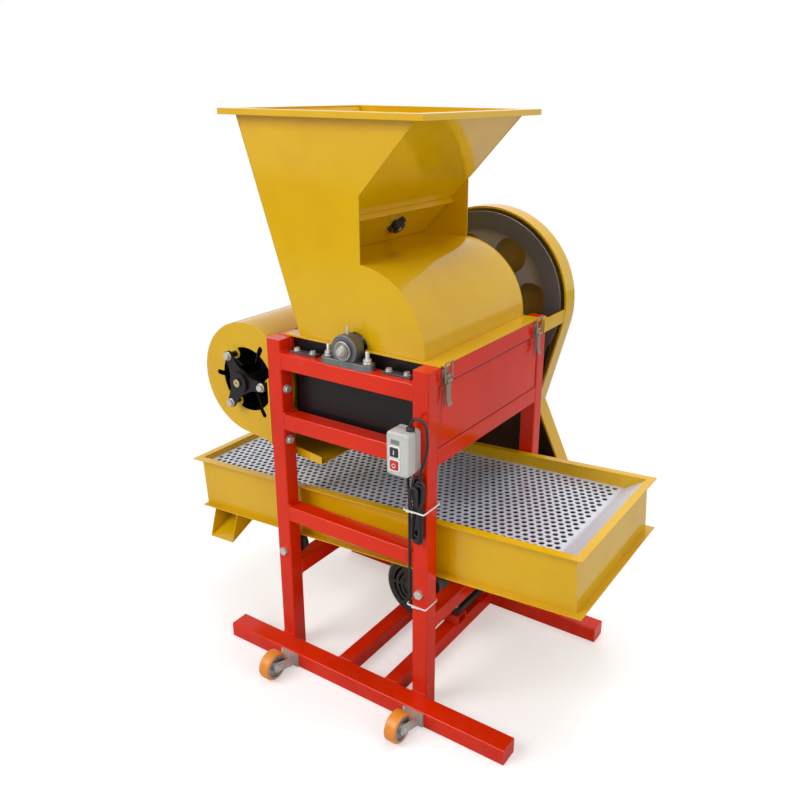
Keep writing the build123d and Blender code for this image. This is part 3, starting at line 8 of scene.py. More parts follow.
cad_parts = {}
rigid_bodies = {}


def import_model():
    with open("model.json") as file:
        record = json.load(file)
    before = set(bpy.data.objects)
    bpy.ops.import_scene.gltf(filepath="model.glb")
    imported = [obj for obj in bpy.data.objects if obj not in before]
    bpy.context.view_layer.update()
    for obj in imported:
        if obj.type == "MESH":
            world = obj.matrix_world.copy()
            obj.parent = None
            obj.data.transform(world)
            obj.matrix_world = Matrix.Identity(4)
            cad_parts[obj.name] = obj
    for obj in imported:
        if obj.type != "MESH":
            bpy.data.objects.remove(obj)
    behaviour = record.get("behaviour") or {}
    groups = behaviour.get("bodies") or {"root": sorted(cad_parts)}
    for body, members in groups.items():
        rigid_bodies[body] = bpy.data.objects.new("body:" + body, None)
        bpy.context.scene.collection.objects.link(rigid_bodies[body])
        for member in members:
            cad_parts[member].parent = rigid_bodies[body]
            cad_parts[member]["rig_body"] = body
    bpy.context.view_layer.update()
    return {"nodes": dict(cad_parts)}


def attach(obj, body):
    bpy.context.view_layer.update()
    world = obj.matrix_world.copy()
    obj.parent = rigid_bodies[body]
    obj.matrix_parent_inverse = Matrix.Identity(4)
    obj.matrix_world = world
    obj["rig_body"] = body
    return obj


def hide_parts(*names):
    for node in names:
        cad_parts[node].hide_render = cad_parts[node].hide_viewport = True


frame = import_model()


# Studio: a pale floor that keeps the shadow and fades to white, white surroundings and soft lamps.
# The camera stands in front of the machine's right corner, a little above the switch.


class Tone:
    """A value in a node tree; its operators add Math nodes."""

    def __init__(self, tree, socket):
        self.tree = tree
        self.socket = socket

    def math(self, operation, first, second):
        return self.tree.node("ShaderNodeMath", {0: first, 1: second}, operation=operation)

    def __add__(self, other):
        return self.math("ADD", self, other)

    __radd__ = __add__

    def __sub__(self, other):
        return self.math("SUBTRACT", self, other)

    def __rsub__(self, other):
        return self.math("SUBTRACT", other, self)

    def __mul__(self, other):
        return self.math("MULTIPLY", self, other)

    def __mod__(self, other):
        return self.math("MODULO", self, other)


class Tree:
    """A node tree that grows node by node."""

    def __init__(self, tree):
        self.nodes = tree.nodes
        self.links = tree.links

    def node(self, kind, sockets=None, output=0, **settings):
        made = self.nodes.new(kind)
        for name, value in settings.items():
            setattr(made, name, value)
        for name, value in (sockets or {}).items():
            self.feed(made.inputs[name], value)
        return Tone(self, made.outputs[output])

    def feed(self, socket, value):
        if isinstance(value, Tone):
            self.links.new(value.socket, socket)
        else:
            socket.default_value = value


class Finish(Tree):
    """The node tree of a material or of the surroundings."""

    def __init__(self, owner, shader="Principled BSDF"):
        owner.use_nodes = True
        super().__init__(owner.node_tree)
        self.owner = owner
        self.shader = self.nodes[shader]

    def surface(self, **sockets):
        for name, value in sockets.items():
            self.feed(self.shader.inputs[name.replace("_", " ")], value)
        return self.owner

    def ray(self, kind):
        return self.node("ShaderNodeLightPath", output=kind)

    def place(self):
        return self.node("ShaderNodeTexCoord", output="Object")

    def along(self, axis):
        return self.node("ShaderNodeSeparateXYZ", {0: self.place()}, axis)

    def stretched(self, scale):
        return self.node("ShaderNodeMapping", {"Vector": self.place(), "Scale": scale})

    def noise(self, scale, detail=4.0, roughness=0.55, vector=None):
        sockets = {"Scale": scale, "Detail": detail, "Roughness": roughness}
        return self.node("ShaderNodeTexNoise", {"Vector": vector or self.place(), **sockets})

    def between(self, value, low, high):
        sockets = {"Value": value, "From Min": low, "From Max": high}
        return self.node("ShaderNodeMapRange", sockets, interpolation_type="SMOOTHSTEP")

    def blend(self, share, first, second):
        return self.node("ShaderNodeMix", {0: share, 6: first, 7: second}, 2, data_type="RGBA")

    def mix(self, share, *colours):
        """Blend of two colours, each a tone or the levels of a screen colour."""
        return self.blend(share, *(shade(*part) if isinstance(part, tuple) else part for part in colours))

    def bump(self, height, strength, distance):
        return self.node("ShaderNodeBump", {"Height": height, "Strength": strength, "Distance": distance})


def shade(*levels):
    """Linear colour of an 8-bit screen colour."""
    linear = []
    for level in levels:
        part = level / 255
        linear.append(part / 12.92 if part <= 0.04045 else ((part + 0.055) / 1.055) ** 2.4)
    return (*linear, 1.0)


def material_tree(name):
    return Finish(bpy.data.materials.new(name))


def link(name, data):
    piece = bpy.data.objects.new(name, data)
    bpy.context.scene.collection.objects.link(piece)
    return piece


def built(name, shape):
    """Piece from a mesh that has been put together."""
    mesh = bpy.data.meshes.new(name)
    shape.to_mesh(mesh)
    shape.free()
    return link(name, mesh)


def lamp(name, place, aim, size, power):
    light = bpy.data.lights.new(name, "AREA")
    light.energy = power
    light.size = size
    holder = link(name, light)
    holder.location = place
    holder.rotation_euler = (Vector(aim) - Vector(place)).to_track_quat("-Z", "Y").to_euler()
    return holder


scene = bpy.context.scene
scene.view_settings.view_transform = "Standard"
lamp("key_lamp", (-1.7, -3.3, 3.1), (0, 0, 0.7), 2.4, 114)
lamp("side_lamp", (3.4, -1.2, 2.2), (0, 0, 0.7), 2.4, 46)
lamp("top_lamp", (0.3, 0.6, 3.8), (0, 0, 0.6), 2.2, 60)
back_lamp = lamp("back_lamp", (-1.4, 3.4, 2.4), (0, 0, 0.7), 2.0, 46)
back_lamp.visible_glossy = False

world = bpy.data.worlds.new("surroundings")
scene.world = world
sky = Finish(world, "Background")
sky_light = 0.32
sky_seen = 1.0
seen = sky.ray("Is Camera Ray")
for kind in ("Is Glossy Ray", "Is Transmission Ray"):
    seen = seen.math("MAXIMUM", seen, sky.ray(kind))
strength = sky.node("ShaderNodeMapRange", {"Value": seen, "To Min": sky_light, "To Max": sky_seen})
sky.surface(Color=(1, 1, 1, 1), Strength=strength)

floor_shape = bmesh.new()
bmesh.ops.create_grid(floor_shape, x_segments=1, y_segments=1, size=9)
floor = built("floor", floor_shape)
pale = material_tree("pale_floor")
pale.surface(Base_Color=(0.7, 0.7, 0.7, 1), Roughness=0.9, Specular_IOR_Level=0.1)
fade_start = 0.75
fade_end = 1.9
glow = 0.4
camera_ray = pale.ray("Is Camera Ray")
from_middle = pale.node("ShaderNodeVectorMath", {0: pale.place()}, "Value", operation="LENGTH")
faded = pale.between(from_middle, fade_start, fade_end) * camera_ray
lift = pale.node("ShaderNodeEmission", {"Strength": camera_ray * glow})
plain = Tone(pale, pale.shader.outputs[0])
lifted = pale.node("ShaderNodeAddShader", {0: plain, 1: lift})
white = pale.node("ShaderNodeEmission")
shown = pale.node("ShaderNodeMixShader", {0: faded, 1: lifted, 2: white})
pale.feed(pale.nodes["Material Output"].inputs["Surface"], shown)
floor.data.materials.append(pale.owner)

camera = bpy.data.cameras.new("camera")
camera.sensor_width = 36.0
camera.lens = 37.04
camera.shift_x = -0.0356
camera.shift_y = -0.0181
camera_holder = link("camera", camera)
camera_place = (1.061, -1.5595, 1.3672)
heading = radians(33.0)
dip = radians(20.0)
roll = radians(0.47)
turned = Matrix.Rotation(heading, 4, "Z") @ Matrix.Rotation(pi / 2 - dip, 4, "X")
turned = turned @ Matrix.Rotation(roll, 4, "Z")
camera_holder.matrix_world = Matrix.Translation(camera_place) @ turned
scene.camera = camera_holder


# Red frame: square tube welded into two end frames, joined by side rails, on rectangular skids.
# It is sprayed with a gloss enamel that thins at the edges and gathers dust low down.


def enamel(name, colour, deep, dust, rough=0.08, shine=0.36):
    """Sprayed paint: drift of colour, orange peel, thin edges, hairline scratches and floor dust."""
    paint = material_tree(name)
    drift = paint.between(paint.noise(3.1, 3.0), 0.36, 0.68)
    cloud = paint.noise(26.0, 5.0, 0.6)
    peel = paint.noise(380.0, 2.0)
    wave = paint.noise(6.0, 1.0)
    scratch = paint.between(paint.noise(5.0, 3.0, 0.7, paint.stretched((4.0, 60.0, 9.0))), 0.72, 0.74)
    edge = paint.node("ShaderNodeAttribute", output="Fac", attribute_name="edge")
    worn = edge * paint.between(paint.noise(34.0, 6.0, 0.7), 0.55, 0.64)
    grime = (1 - paint.between(paint.along("Z"), 0.0, 0.3)) * paint.between(cloud, 0.4, 0.8)
    tint = paint.mix(drift * 0.5, colour, deep)
    tint = paint.mix(paint.between(cloud, 0.45, 0.8) * 0.18, tint, deep)
    tint = paint.mix(grime * 0.07 + scratch * 0.12, tint, dust)
    tint = paint.mix(worn * 0.45, tint, dust)
    return paint.surface(
        Base_Color=tint,
        Roughness=rough + cloud * 0.07 + grime * 0.12 + scratch * 0.12 + worn * 0.15,
        Specular_IOR_Level=shine,
        Coat_Weight=0.06,
        Coat_Roughness=0.04,
        Normal=paint.bump(peel * 0.3 + wave * 2.4 - worn * 0.6, 0.2, 0.0006),
    )


def broken(shape, edges, radius, segments):
    """Breaks edges to a radius and gives the new faces."""
    made = bmesh.ops.bevel(
        shape,
        geom=edges,
        offset=radius,
        offset_type="OFFSET",
        segments=segments,
        profile=0.5,
        affect="EDGES",
        clamp_overlap=True,
    )
    return made["faces"]


def rounded(node, radius, segments=2, shortest=0.0, wide=0.0, chosen=None, cut=None):
    """Copy of a solid with its sharp edges broken, chosen ones wider, and its faces cut by a plane."""
    shape = bmesh.new()
    shape.from_mesh(frame["nodes"][node].data)
    bmesh.ops.remove_doubles(shape, verts=shape.verts, dist=2e-5)
    bmesh.ops.dissolve_limit(shape, angle_limit=radians(0.6), verts=shape.verts, edges=shape.edges)
    if cut:
        whole = [*shape.verts, *shape.edges, *shape.faces]
        bmesh.ops.bisect_plane(shape, geom=whole, plane_co=cut.translation, plane_no=cut.col[2].to_3d())
    edge_layer = shape.loops.layers.float.new("edge")
    if chosen:
        bent = [edge for edge in shape.edges if edge.calc_face_angle(0) > radians(60) and chosen(edge)]
        broken(shape, bent, wide, 5)
    sharp = [
        edge
        for edge in shape.edges
        if edge.calc_face_angle(0) > radians(28) and edge.calc_length() > shortest
    ]
    for face in broken(shape, sharp, radius, segments):
        for corner in face.loops:
            corner[edge_layer] = 1.0
    smoothed(shape, 50)
    piece = built(node + "_finished", shape)
    even = piece.modifiers.new("even", "WEIGHTED_NORMAL")
    even.keep_sharp = True
    return settled(piece)


def smoothed(shape, angle):
    """Smooth faces, with edges sharper than the angle kept crisp."""
    for face in shape.faces:
        face.smooth = True
    for edge in shape.edges:
        edge.smooth = not edge.is_manifold or edge.calc_face_angle() < radians(angle)


def settled(piece):
    """The piece with its modifiers worked into a plain mesh."""
    shown = piece.evaluated_get(bpy.context.evaluated_depsgraph_get())
    mesh = bpy.data.meshes.new_from_object(shown)
    piece.modifiers.clear()
    piece.data = mesh
    mesh.name = piece.name
    return piece


def carried(piece, body, material=None):
    """Gives a piece its finish and the body that carries it."""
    if material:
        piece.data.materials.clear()
        piece.data.materials.append(material)
    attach(piece, body)
    return piece


def stands_for(piece, node, material):
    """Lets a finished piece take the place of the solid."""
    carried(piece, frame["nodes"][node]["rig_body"], material)
    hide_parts(node)
    return piece


fine_edge = 0.0006


def finished(node, material, radius=fine_edge, **choices):
    """The finished copy of a solid, in its place."""
    return stands_for(rounded(node, radius, **choices), node, material)


class Rule(Tree):
    """A Geometry Nodes tree with named inputs for its sizes."""

    def __init__(self, name, **sizes):
        self.group = bpy.data.node_groups.new(name, "GeometryNodeTree")
        super().__init__(self.group)
        interface = self.group.interface
        interface.new_socket("Geometry", in_out="OUTPUT", socket_type="NodeSocketGeometry")
        interface.new_socket("Geometry", in_out="INPUT", socket_type="NodeSocketGeometry")
        kinds = {int: "NodeSocketInt", float: "NodeSocketFloat", bpy.types.Object: "NodeSocketObject"}
        self.values = {}
        for size, value in sizes.items():
            socket = interface.new_socket(size, in_out="INPUT", socket_type=kinds[type(value)])
            self.values[socket.identifier] = value
        self.entry = self.nodes.new("NodeGroupInput")
        self.exit = self.nodes.new("NodeGroupOutput")

    def size(self, name):
        return Tone(self, self.entry.outputs[name])

    def run(self, name, result, material, mesh=None):
        result = self.node("GeometryNodeRealizeInstances", {"Geometry": result})
        result = self.node("GeometryNodeSetMaterial", {"Geometry": result, "Material": material})
        self.feed(self.exit.inputs[0], result)
        piece = link(name, mesh or bpy.data.meshes.new(name))
        repeat = piece.modifiers.new("repeat", "NODES")
        repeat.node_group = self.group
        for identifier, value in self.values.items():
            repeat[identifier] = value
        return settled(piece)


def beads(name, lines, size, pitch, body, material):
    """Weld beads: overlapping ripples laid along straight or bent lines."""
    points = []
    edges = []
    for line in lines:
        first = len(points)
        points += line
        edges += [(first + step, first + step + 1) for step in range(len(line) - 1)]
    mesh = bpy.data.meshes.new(name)
    mesh.from_pydata(points, edges, [])
    rule = Rule(name + "_rule", Size=size, Pitch=pitch)
    line = rule.node("GeometryNodeMeshToCurve", {"Mesh": rule.size("Geometry")})
    steps = {"Curve": line, "Length": rule.size("Pitch")}
    line = rule.node("GeometryNodeResampleCurve", steps, mode="LENGTH")
    ripple = rule.node("GeometryNodeMeshIcoSphere", {"Radius": rule.size("Size"), "Subdivisions": 2})
    ripple = rule.node("GeometryNodeSetShadeSmooth", {"Geometry": ripple})
    tangent = rule.node("GeometryNodeInputTangent")
    turn = rule.node("FunctionNodeAlignRotationToVector", {"Vector": tangent}, axis="X")
    spread = rule.node("FunctionNodeRandomValue", {2: 0.82, 3: 1.12, "Seed": 4}, 1)
    sockets = {"Points": line, "Instance": ripple, "Rotation": turn, "Scale": spread}
    laid = rule.node("GeometryNodeInstanceOnPoints", sockets)
    return carried(rule.run(name, laid, material, mesh), body)


class Shape:
    """Mesh under construction, made of turned, hexagonal and folded forms."""

    def __init__(self):
        self.mesh = bmesh.new()

    def skin(self, rows, closed=False):
        """Faces over rows of equal count, capped unless the last row joins the first."""
        pairs = list(zip(rows, rows[1:]))
        if closed:
            pairs.append((rows[-1], rows[0]))
        else:
            self.mesh.faces.new(rows[0][::-1])
            self.mesh.faces.new(rows[-1])
        for low, high in pairs:
            for index in range(len(low)):
                after = (index + 1) % len(low)
                self.mesh.faces.new((low[index], low[after], high[after], high[index]))

    def rings(self, outlines, place, axis, closed=False):
        """Skin over outlines stacked along an axis."""
        turn = Vector((0, 0, 1)).rotation_difference(Vector(axis))
        lie = Matrix.Translation(place) @ turn.to_matrix().to_4x4()
        rows = []
        for along, outline in outlines:
            rows.append([self.mesh.verts.new(lie @ Vector((u, v, along))) for u, v in outline])
        self.skin(rows, closed)

    def turned(self, profile, place, axis, sides=32, closed=False):
        """Lathe form from (along, radius) pairs."""
        turns = [2 * pi * step / sides for step in range(sides)]
        circle = [(cos(turn), sin(turn)) for turn in turns]
        outlines = [(along, [(radius * u, radius * v) for u, v in circle]) for along, radius in profile]
        self.rings(outlines, place, axis, closed)

    def hexagon(self, profile, across, place, axis):
        """Hexagon with turned ends: (along, largest radius) pairs."""
        outlines = []
        for along, limit in profile:
            outline = []
            for turn in range(5, 360, 10):
                flat = across / 2 / cos(radians(turn % 60 - 30))
                radius = min(flat, limit)
                outline.append((radius * cos(radians(turn)), radius * sin(radians(turn))))
            outlines.append((along, outline))
        self.rings(outlines, place, axis)

    def folded(self, outline, ends, lie):
        """Straight length of a section in the XZ plane of lie, between two values of its Y."""
        rows = [[self.mesh.verts.new(lie @ Vector((x, y, z))) for x, z in outline] for y in ends]
        self.skin(rows)

    def block(self, low, high, radius, segments=2):
        """Block between two corners with its edges broken."""
        made = bmesh.ops.create_cube(self.mesh, size=1.0)
        middle = (low + high) / 2
        for vertex in made["verts"]:
            vertex.co = middle + Vector(part * (b - a) for part, a, b in zip(vertex.co, low, high))
        edges = list({edge for vertex in made["verts"] for edge in vertex.link_edges})
        broken(self.mesh, edges, radius, segments)

    def put(self, name, body, material, angle=38):
        """Lets a body carry the mesh as a piece."""
        return carried(self.object(name, angle), body, material)

    def object(self, name, angle=38):
        bmesh.ops.recalc_face_normals(self.mesh, faces=self.mesh.faces)
        smoothed(self.mesh, angle)
        return built(name, self.mesh)


front_face = -264.25


def behind(depth):
    """Y in metres of a depth behind the front legs in millimetres."""
    return (front_face + depth) / 1000


def spot(x, depth, z):
    """Place in metres from X, depth behind the front legs and height in millimetres."""
    return Vector((x / 1000, behind(depth), z / 1000))


soft_edge = 0.001
cast_edge = 0.0012
red_enamel = enamel("red_enamel", (222, 42, 3), (194, 26, 2), (200, 140, 112), 0.1, 0.22)
for node in ("legs", "skids", "motor_bars", "cross_rails", "side_rails"):
    finished(node, red_enamel, shortest=0.004)
finished("side_panel", red_enamel, 0.0009)
# Dark red strips along the side panel's seams are painted shade: they stand in for the shade in the gaps
# round the recessed panel.
seam_red = enamel("seam_red", (112, 12, 6), (84, 8, 5), (120, 60, 44), 0.5)
seam_x = (216.6, 217.7)
seam_depths = (40.0, 500.0)
seam_heights = (649.5, 789.5)
seam_width = 2.6
seam_spans = []
for z in (seam_heights[1] - seam_width, seam_heights[0]):
    seam_spans.append((seam_depths[0], z, seam_depths[1], z + seam_width))
for depth in (seam_depths[0], seam_depths[1] - seam_width):
    seam_spans.append((depth, seam_heights[0] + 0.5, depth + seam_width, seam_heights[1] - 0.5))
panel_seams = Shape()
for depth, z, depth_end, z_end in seam_spans:
    panel_seams.block(spot(seam_x[0], depth, z), spot(seam_x[1], depth_end, z_end), 0.0004, 1)
panel_seams.put("panel_seams", "frame", seam_red)

tube_side = 40.0
flat_start = 4.5
bead_off = 0.4
bead_inset = 1.6
bead_half = 15.5
skid_side = 20.2
bar_bead_top = 38.8
leg_x = 200.0
rear_legs = 500.0
end_rail_tops = (800.5, 652.5, 412.5)
side_rail_top = 829.5
panel_rail_top = 649.5
low_rail_top = 245.0
motor_bars_x = (-19.0, 121.0)
motor_bars_end = 449.6
frame_welds = []


def weld(*ends):
    frame_welds.append([spot(*end) for end in ends])


def weld_round(x, depth, levels, half, side, run):
    """Beads on the flats above and below a tube end and down its two sides."""
    for z in levels:
        weld((x - half, depth, z), (x + half, depth, z))
    for edge in (x - side, x + side):
        weld((edge, depth, run[0]), (edge, depth, run[1]))


for front, tops in ((0.0, end_rail_tops), (rear_legs, (*end_rail_tops, low_rail_top))):
    for top in tops:
        low = top - tube_side
        for x in (tube_side / 2 - leg_x, leg_x - tube_side / 2):
            for z in (top + bead_off, low - bead_off):
                weld((x, front + flat_start, z), (x, front + tube_side - flat_start, z))
            for depth in (front + bead_inset, front + tube_side - bead_inset):
                weld((x, depth, top - flat_start), (x, depth, low + flat_start))
for x, tops in (
    (-leg_x, (side_rail_top, low_rail_top)),
    (leg_x, (side_rail_top, panel_rail_top, low_rail_top)),
):
    for top in tops:
        low = top - tube_side
        levels = (top - bead_inset, low - bead_off)
        run = (top - flat_start, low + flat_start)
        for depth in (tube_side, rear_legs):
            weld_round(x, depth, levels, bead_half, tube_side / 2 - bead_inset, run)
for depth in (0.0, rear_legs):
    for x in (-leg_x, leg_x):
        weld_round(x, depth, (tube_side + bead_off,), 16.0, skid_side, (8.0, 36.0))
for depth in (bead_off, motor_bars_end):
    for x in motor_bars_x:
        weld_round(x, depth, (bar_bead_top,), bead_half, skid_side, (6.0, 34.0))
beads("frame_welds", frame_welds, 0.0031, 0.0024, "frame", red_enamel)


# Drum chamber and grate: a black plate box between the rails, with a rod grate welded in below the drum.
# The plates are sprayed black and dusty; the rods are bare and rubbed bright by the shells.

black_enamel = enamel("black_enamel", (26, 22, 22), (16, 13, 13), (90, 78, 66), 0.34, 0.22)
finished("drum_chamber", black_enamel)


def bare_metal(name, colour, tarnish, rough, grain=(40.0, 40.0, 40.0), pitting=0.3, metallic=1.0):
    """Bare metal with drawn grain, dull patches and fine pitting."""
    metal = material_tree(name)
    drawn = metal.noise(14.0, 5.0, 0.65, metal.stretched(grain))
    patch = metal.between(metal.noise(18.0, 5.0, 0.6), 0.42, 0.7)
    pits = metal.noise(520.0, 2.0)
    return metal.surface(
        Base_Color=metal.mix(patch * 0.5, colour, tarnish),
        Metallic=metallic - patch * 0.25 * metallic,
        Roughness=rough + drawn * 0.16 + patch * 0.14,
        Normal=metal.bump(drawn * 0.7 + pits * pitting, 0.14, 0.0003),
    )


machined = bare_metal("machined_steel", (176, 172, 164), (116, 104, 88), 0.26, (6.0, 240.0, 240.0))
finished("concave_grate", machined, 0.0004, segments=1)


# Bearings: cast pillow blocks on the top rails, each with a bright insert and a grease nipple.
# The castings are left grey and rough; the insert's races are ground.

cast_grey = bare_metal("cast_grey", (112, 113, 114), (72, 71, 70), 0.44, pitting=1.4)
zinc = bare_metal("zinc_plate", (204, 203, 198), (160, 155, 146), 0.3, metallic=0.75)
finished("bearing_blocks", cast_grey, 0.0008)
shaft_place = (0.0, 837.0)
outer_race = Shape()
inner_race = Shape()
nipples = Shape()
block_depths = (20.0, 520.0)
block_half = 19.0
block_height = 36.0
up = (0, 0, 1)
to_front = (0, -1, 0)
outer_ring = [
    (-0.001, 0.0212), (0.0007, 0.0212), (0.0011, 0.0206),
    (0.0011, 0.0176), (0.0004, 0.017), (-0.001, 0.017),
]
seal_ring = [(-0.001, 0.0168), (0.0003, 0.0166), (0.0003, 0.0158), (-0.001, 0.0156)]
inner_ring = [
    (-0.001, 0.0154), (0.0034, 0.0154), (0.0042, 0.0146),
    (0.0042, 0.0133), (0.0034, 0.0127), (-0.001, 0.0127),
]
nipple = [
    (-0.004, 0.0036), (0.004, 0.0036), (0.0045, 0.0042), (0.009, 0.0042), (0.0095, 0.0024),
    (0.012, 0.0022), (0.0128, 0.003), (0.0146, 0.0029), (0.0158, 0.0016),
]
for depth, outward in zip(block_depths, (-1, 1)):
    face = spot(shaft_place[0], depth + outward * block_half, shaft_place[1])
    axis = (0, outward, 0)
    outer_race.turned(outer_ring, face, axis, 48, True)
    outer_race.turned(seal_ring, face, axis, 48, True)
    inner_race.turned(inner_ring, face, axis, 48, True)
    nipples.turned(nipple, spot(0, depth, shaft_place[1] + block_height), up, 16)
outer_race.put("bearing_outer_races", "frame", machined)
inner_race.put("bearing_inner_races", "drum", machined)
nipples.put("grease_nipples", "frame", zinc)


# Frame bolts: zinc studs, nuts and washers of the blocks, strips, motor feet, fan lugs and fan carriers.
# Standard hexagons with turned corners, pulled up on plain washers.


def bolted(name, head, spots, body):
    """Sets one fastener at each place, its axis along the given direction."""
    mesh = bpy.data.meshes.new(name)
    mesh.from_pydata([place for place, _ in spots], [], [])
    axes = mesh.attributes.new("axis", "FLOAT_VECTOR", "POINT")
    for index, (_, axis) in enumerate(spots):
        axes.data[index].vector = axis
    rule = Rule(name + "_rule", Head=head)
    axis = rule.node("GeometryNodeInputNamedAttribute", {"Name": "axis"}, data_type="FLOAT_VECTOR")
    turn = rule.node("FunctionNodeAlignRotationToVector", {"Vector": axis}, axis="Z")
    source = rule.node("GeometryNodeObjectInfo", {"Object": rule.size("Head")}, "Geometry")
    sockets = {"Points": rule.size("Geometry"), "Instance": source, "Rotation": turn}
    heads = rule.node("GeometryNodeInstanceOnPoints", sockets)
    piece = carried(rule.run(name, heads, zinc, mesh), body)
    bpy.data.objects.remove(head)
    return piece


def fastener(across, height, washer, stud=0.0, thread=0.0):
    """Washer, chamfered hexagon and, where asked, a threaded stud end, standing on the XY plane."""
    origin = Vector((0, 0, 0))
    base = 0.0018
    made = Shape()
    made.turned([(0, washer), (base - 0.0004, washer), (base, washer - 0.0004)], origin, up, 28)
    chamfer = across * 0.06
    made.hexagon(
        [(base, across * 0.53), (base + chamfer * 0.6, across), (base + height - chamfer, across),
         (base + height, across * 0.5)],
        across, origin, up,
    )
    if stud:
        profile = [(base + height - 0.001, stud)]
        along = base + height
        while along < thread - 0.002:
            profile += [(along, stud), (along + 0.0008, stud - 0.0007), (along + 0.0016, stud)]
            along += 0.0016
        made.turned(profile + [(thread, stud - 0.0012)], origin, up, 18)
    return made.object("fastener")


block_foot = 814.2
studs = [(spot(x, depth, block_foot), up) for depth in block_depths for x in (-52.5, 52.5)]
block_studs = bolted("block_studs", fastener(0.0172, 0.0085, 0.0112, 0.005, 0.0262), studs, "frame")
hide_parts("frame_bolts")
strip_top = end_rail_tops[0] + 5
strip_spots = [
    (spot(x + side, depth + 6, strip_top), up)
    for depth in block_depths
    for x in (-127.0, 127.0)
    for side in (-23.0, 23.0)
]
bolted("strip_bolts", fastener(0.0122, 0.005, 0.0082), strip_spots, "frame")
fan_place = (-333.0, 694.5)
fan_faces = ((45.0, -1), (495.0, 1))
motor_foot_top = 82.0
foot_spots = [(spot(x, depth, motor_foot_top), up) for x in motor_bars_x for depth in (285.0, 410.0)]
for depth in (16.0, 524.0):
    for z in (fan_place[1] - 111, fan_place[1] + 16):
        foot_spots.append((spot(tube_side / 2 - leg_x, depth, z), (1, 0, 0)))
carrier_reach = 69.0
web_stand = 20.0
for face, outward in fan_faces:
    for number in range(3):
        turn = radians(120 * number)
        x = fan_place[0] + carrier_reach * cos(turn)
        z = fan_place[1] + carrier_reach * sin(turn)
        foot_spots.append((spot(x, face + outward * (web_stand + 6), z), (0, outward, 0)))
bolted("foot_bolts", fastener(0.0155, 0.0066, 0.0108), foot_spots, "frame")
strip_steel = bare_metal("strip_steel", (104, 100, 98), (70, 64, 60), 0.42)
finished("rail_strips", strip_steel)
finished("roller_bolts", zinc, soft_edge)


# Drum: a ground shaft with beater bars, and cast pulleys behind the rear frame.
# The big flywheel pulley is left as cast, with its grooves and flange turned bright.


def two_tone(piece, material, chosen):
    """Gives the faces that are chosen by their middle and normal a second finish."""
    piece.data.materials.append(material)
    for face in piece.data.polygons:
        if chosen(face.center, face.normal):
            face.material_index = len(piece.data.materials) - 1


def from_axis(place, point):
    """Distance in metres of a point from an axis along Y, given by its X and Z in millimetres."""
    return hypot(point.x - place[0] / 1000, point.z - place[1] / 1000)


for node in ("drum_shaft", "drum_rotor"):
    finished(node, machined, cast_edge)
pulley_iron = enamel("pulley_iron", (124, 122, 118), (98, 95, 90), (140, 126, 100), 0.42)
turned_iron = bare_metal("turned_iron", (170, 170, 170), (120, 114, 104), 0.3, (240.0, 6.0, 240.0))
flywheel = finished("flywheel_pulley", pulley_iron, 0.0014)
grooves_start = 0.189


def in_grooves(at, normal):
    return from_axis(shaft_place, at) > grooves_start and abs(normal.y) < 0.6


two_tone(flywheel, turned_iron, in_grooves)
# The flywheel's rim face is painted darker and its recessed web lighter than the cast iron itself: painted
# shade on the rim and painted light in the web.
rim_iron = enamel("rim_iron", (92, 89, 86), (68, 65, 62), (140, 126, 100), 0.42)
web_iron = enamel("web_iron", (160, 157, 151), (126, 122, 116), (140, 126, 100), 0.42)
for face_iron, face_depth in ((rim_iron, 610), (web_iron, 628)):
    face_y = behind(face_depth)
    two_tone(flywheel, face_iron, lambda at, normal: normal.y < -0.7 and abs(at.y - face_y) < 0.002)
finished("fan_drive_pulley", pulley_iron, cast_edge)
shaft_bolt = Shape()
shaft_end = spot(shaft_place[0], -4, shaft_place[1])
shaft_bolt.turned([(0, 0.0102), (0.0014, 0.0102), (0.0018, 0.0098)], shaft_end, to_front, 40)
shaft_bolt.hexagon(
    [(0.0018, 0.0069), (0.0022, 0.02), (0.0062, 0.02), (0.0068, 0.0062)], 0.013, shaft_end, to_front
)
shaft_bolt.put("shaft_bolt", "drum", zinc)


# Belts and their guard: cloth faced V-belts inside a yellow sheet band with a closed back.
# The guard is welded from sheet and hangs on flat arms from the rear legs; its inside is darkened by
# painted shade, deepest low down, and by patches of belt dust.


def rubber(name, colour, worn_colour, rough=0.62):
    """Black rubber or cloth faced rubber, greyed by dust."""
    skin = material_tree(name)
    dusty = skin.between(skin.noise(30.0, 5.0, 0.6), 0.4, 0.72)
    grain = skin.noise(900.0, 2.0)
    return skin.surface(
        Base_Color=skin.mix(dusty * 0.5, colour, worn_colour),
        Roughness=rough + dusty * 0.15,
        Normal=skin.bump(grain, 0.2, 0.0002),
    )


belt_cloth = rubber("belt_cloth", (30, 30, 31), (66, 63, 58), 0.7)
finished("drive_belts", belt_cloth)
yellow_enamel = enamel("yellow_enamel", (220, 175, 8), (206, 155, 4), (208, 190, 140))
# Inside of the guard: the run from dark brown low down to pale yellow higher up is painted shade; the caked
# patches are belt dust.
belt_dust = material_tree("belt_dust")
caked = belt_dust.between(belt_dust.noise(9.0, 5.0, 0.6), 0.4, 0.7)
upper = belt_dust.between(belt_dust.along("Z"), 0.46, 0.8)
shaded_yellow = belt_dust.mix(upper, (56, 44, 28), (236, 194, 88))
belt_dust.surface(
    Base_Color=belt_dust.mix(caked * 0.35, shaded_yellow, (70, 56, 34)),
    Roughness=0.5 + caked * 0.2,
    Normal=belt_dust.bump(belt_dust.noise(240.0, 3.0), 0.2, 0.0004),
)
guard_front = behind(625)
guard_back = behind(674.5)
guard_rear = behind(675.9)


def at_rear(edge):
    return all(vertex.co.y > guard_rear for vertex in edge.verts)


def inside_guard(at, normal):
    return guard_front < at.y < guard_back and normal.y < -0.8


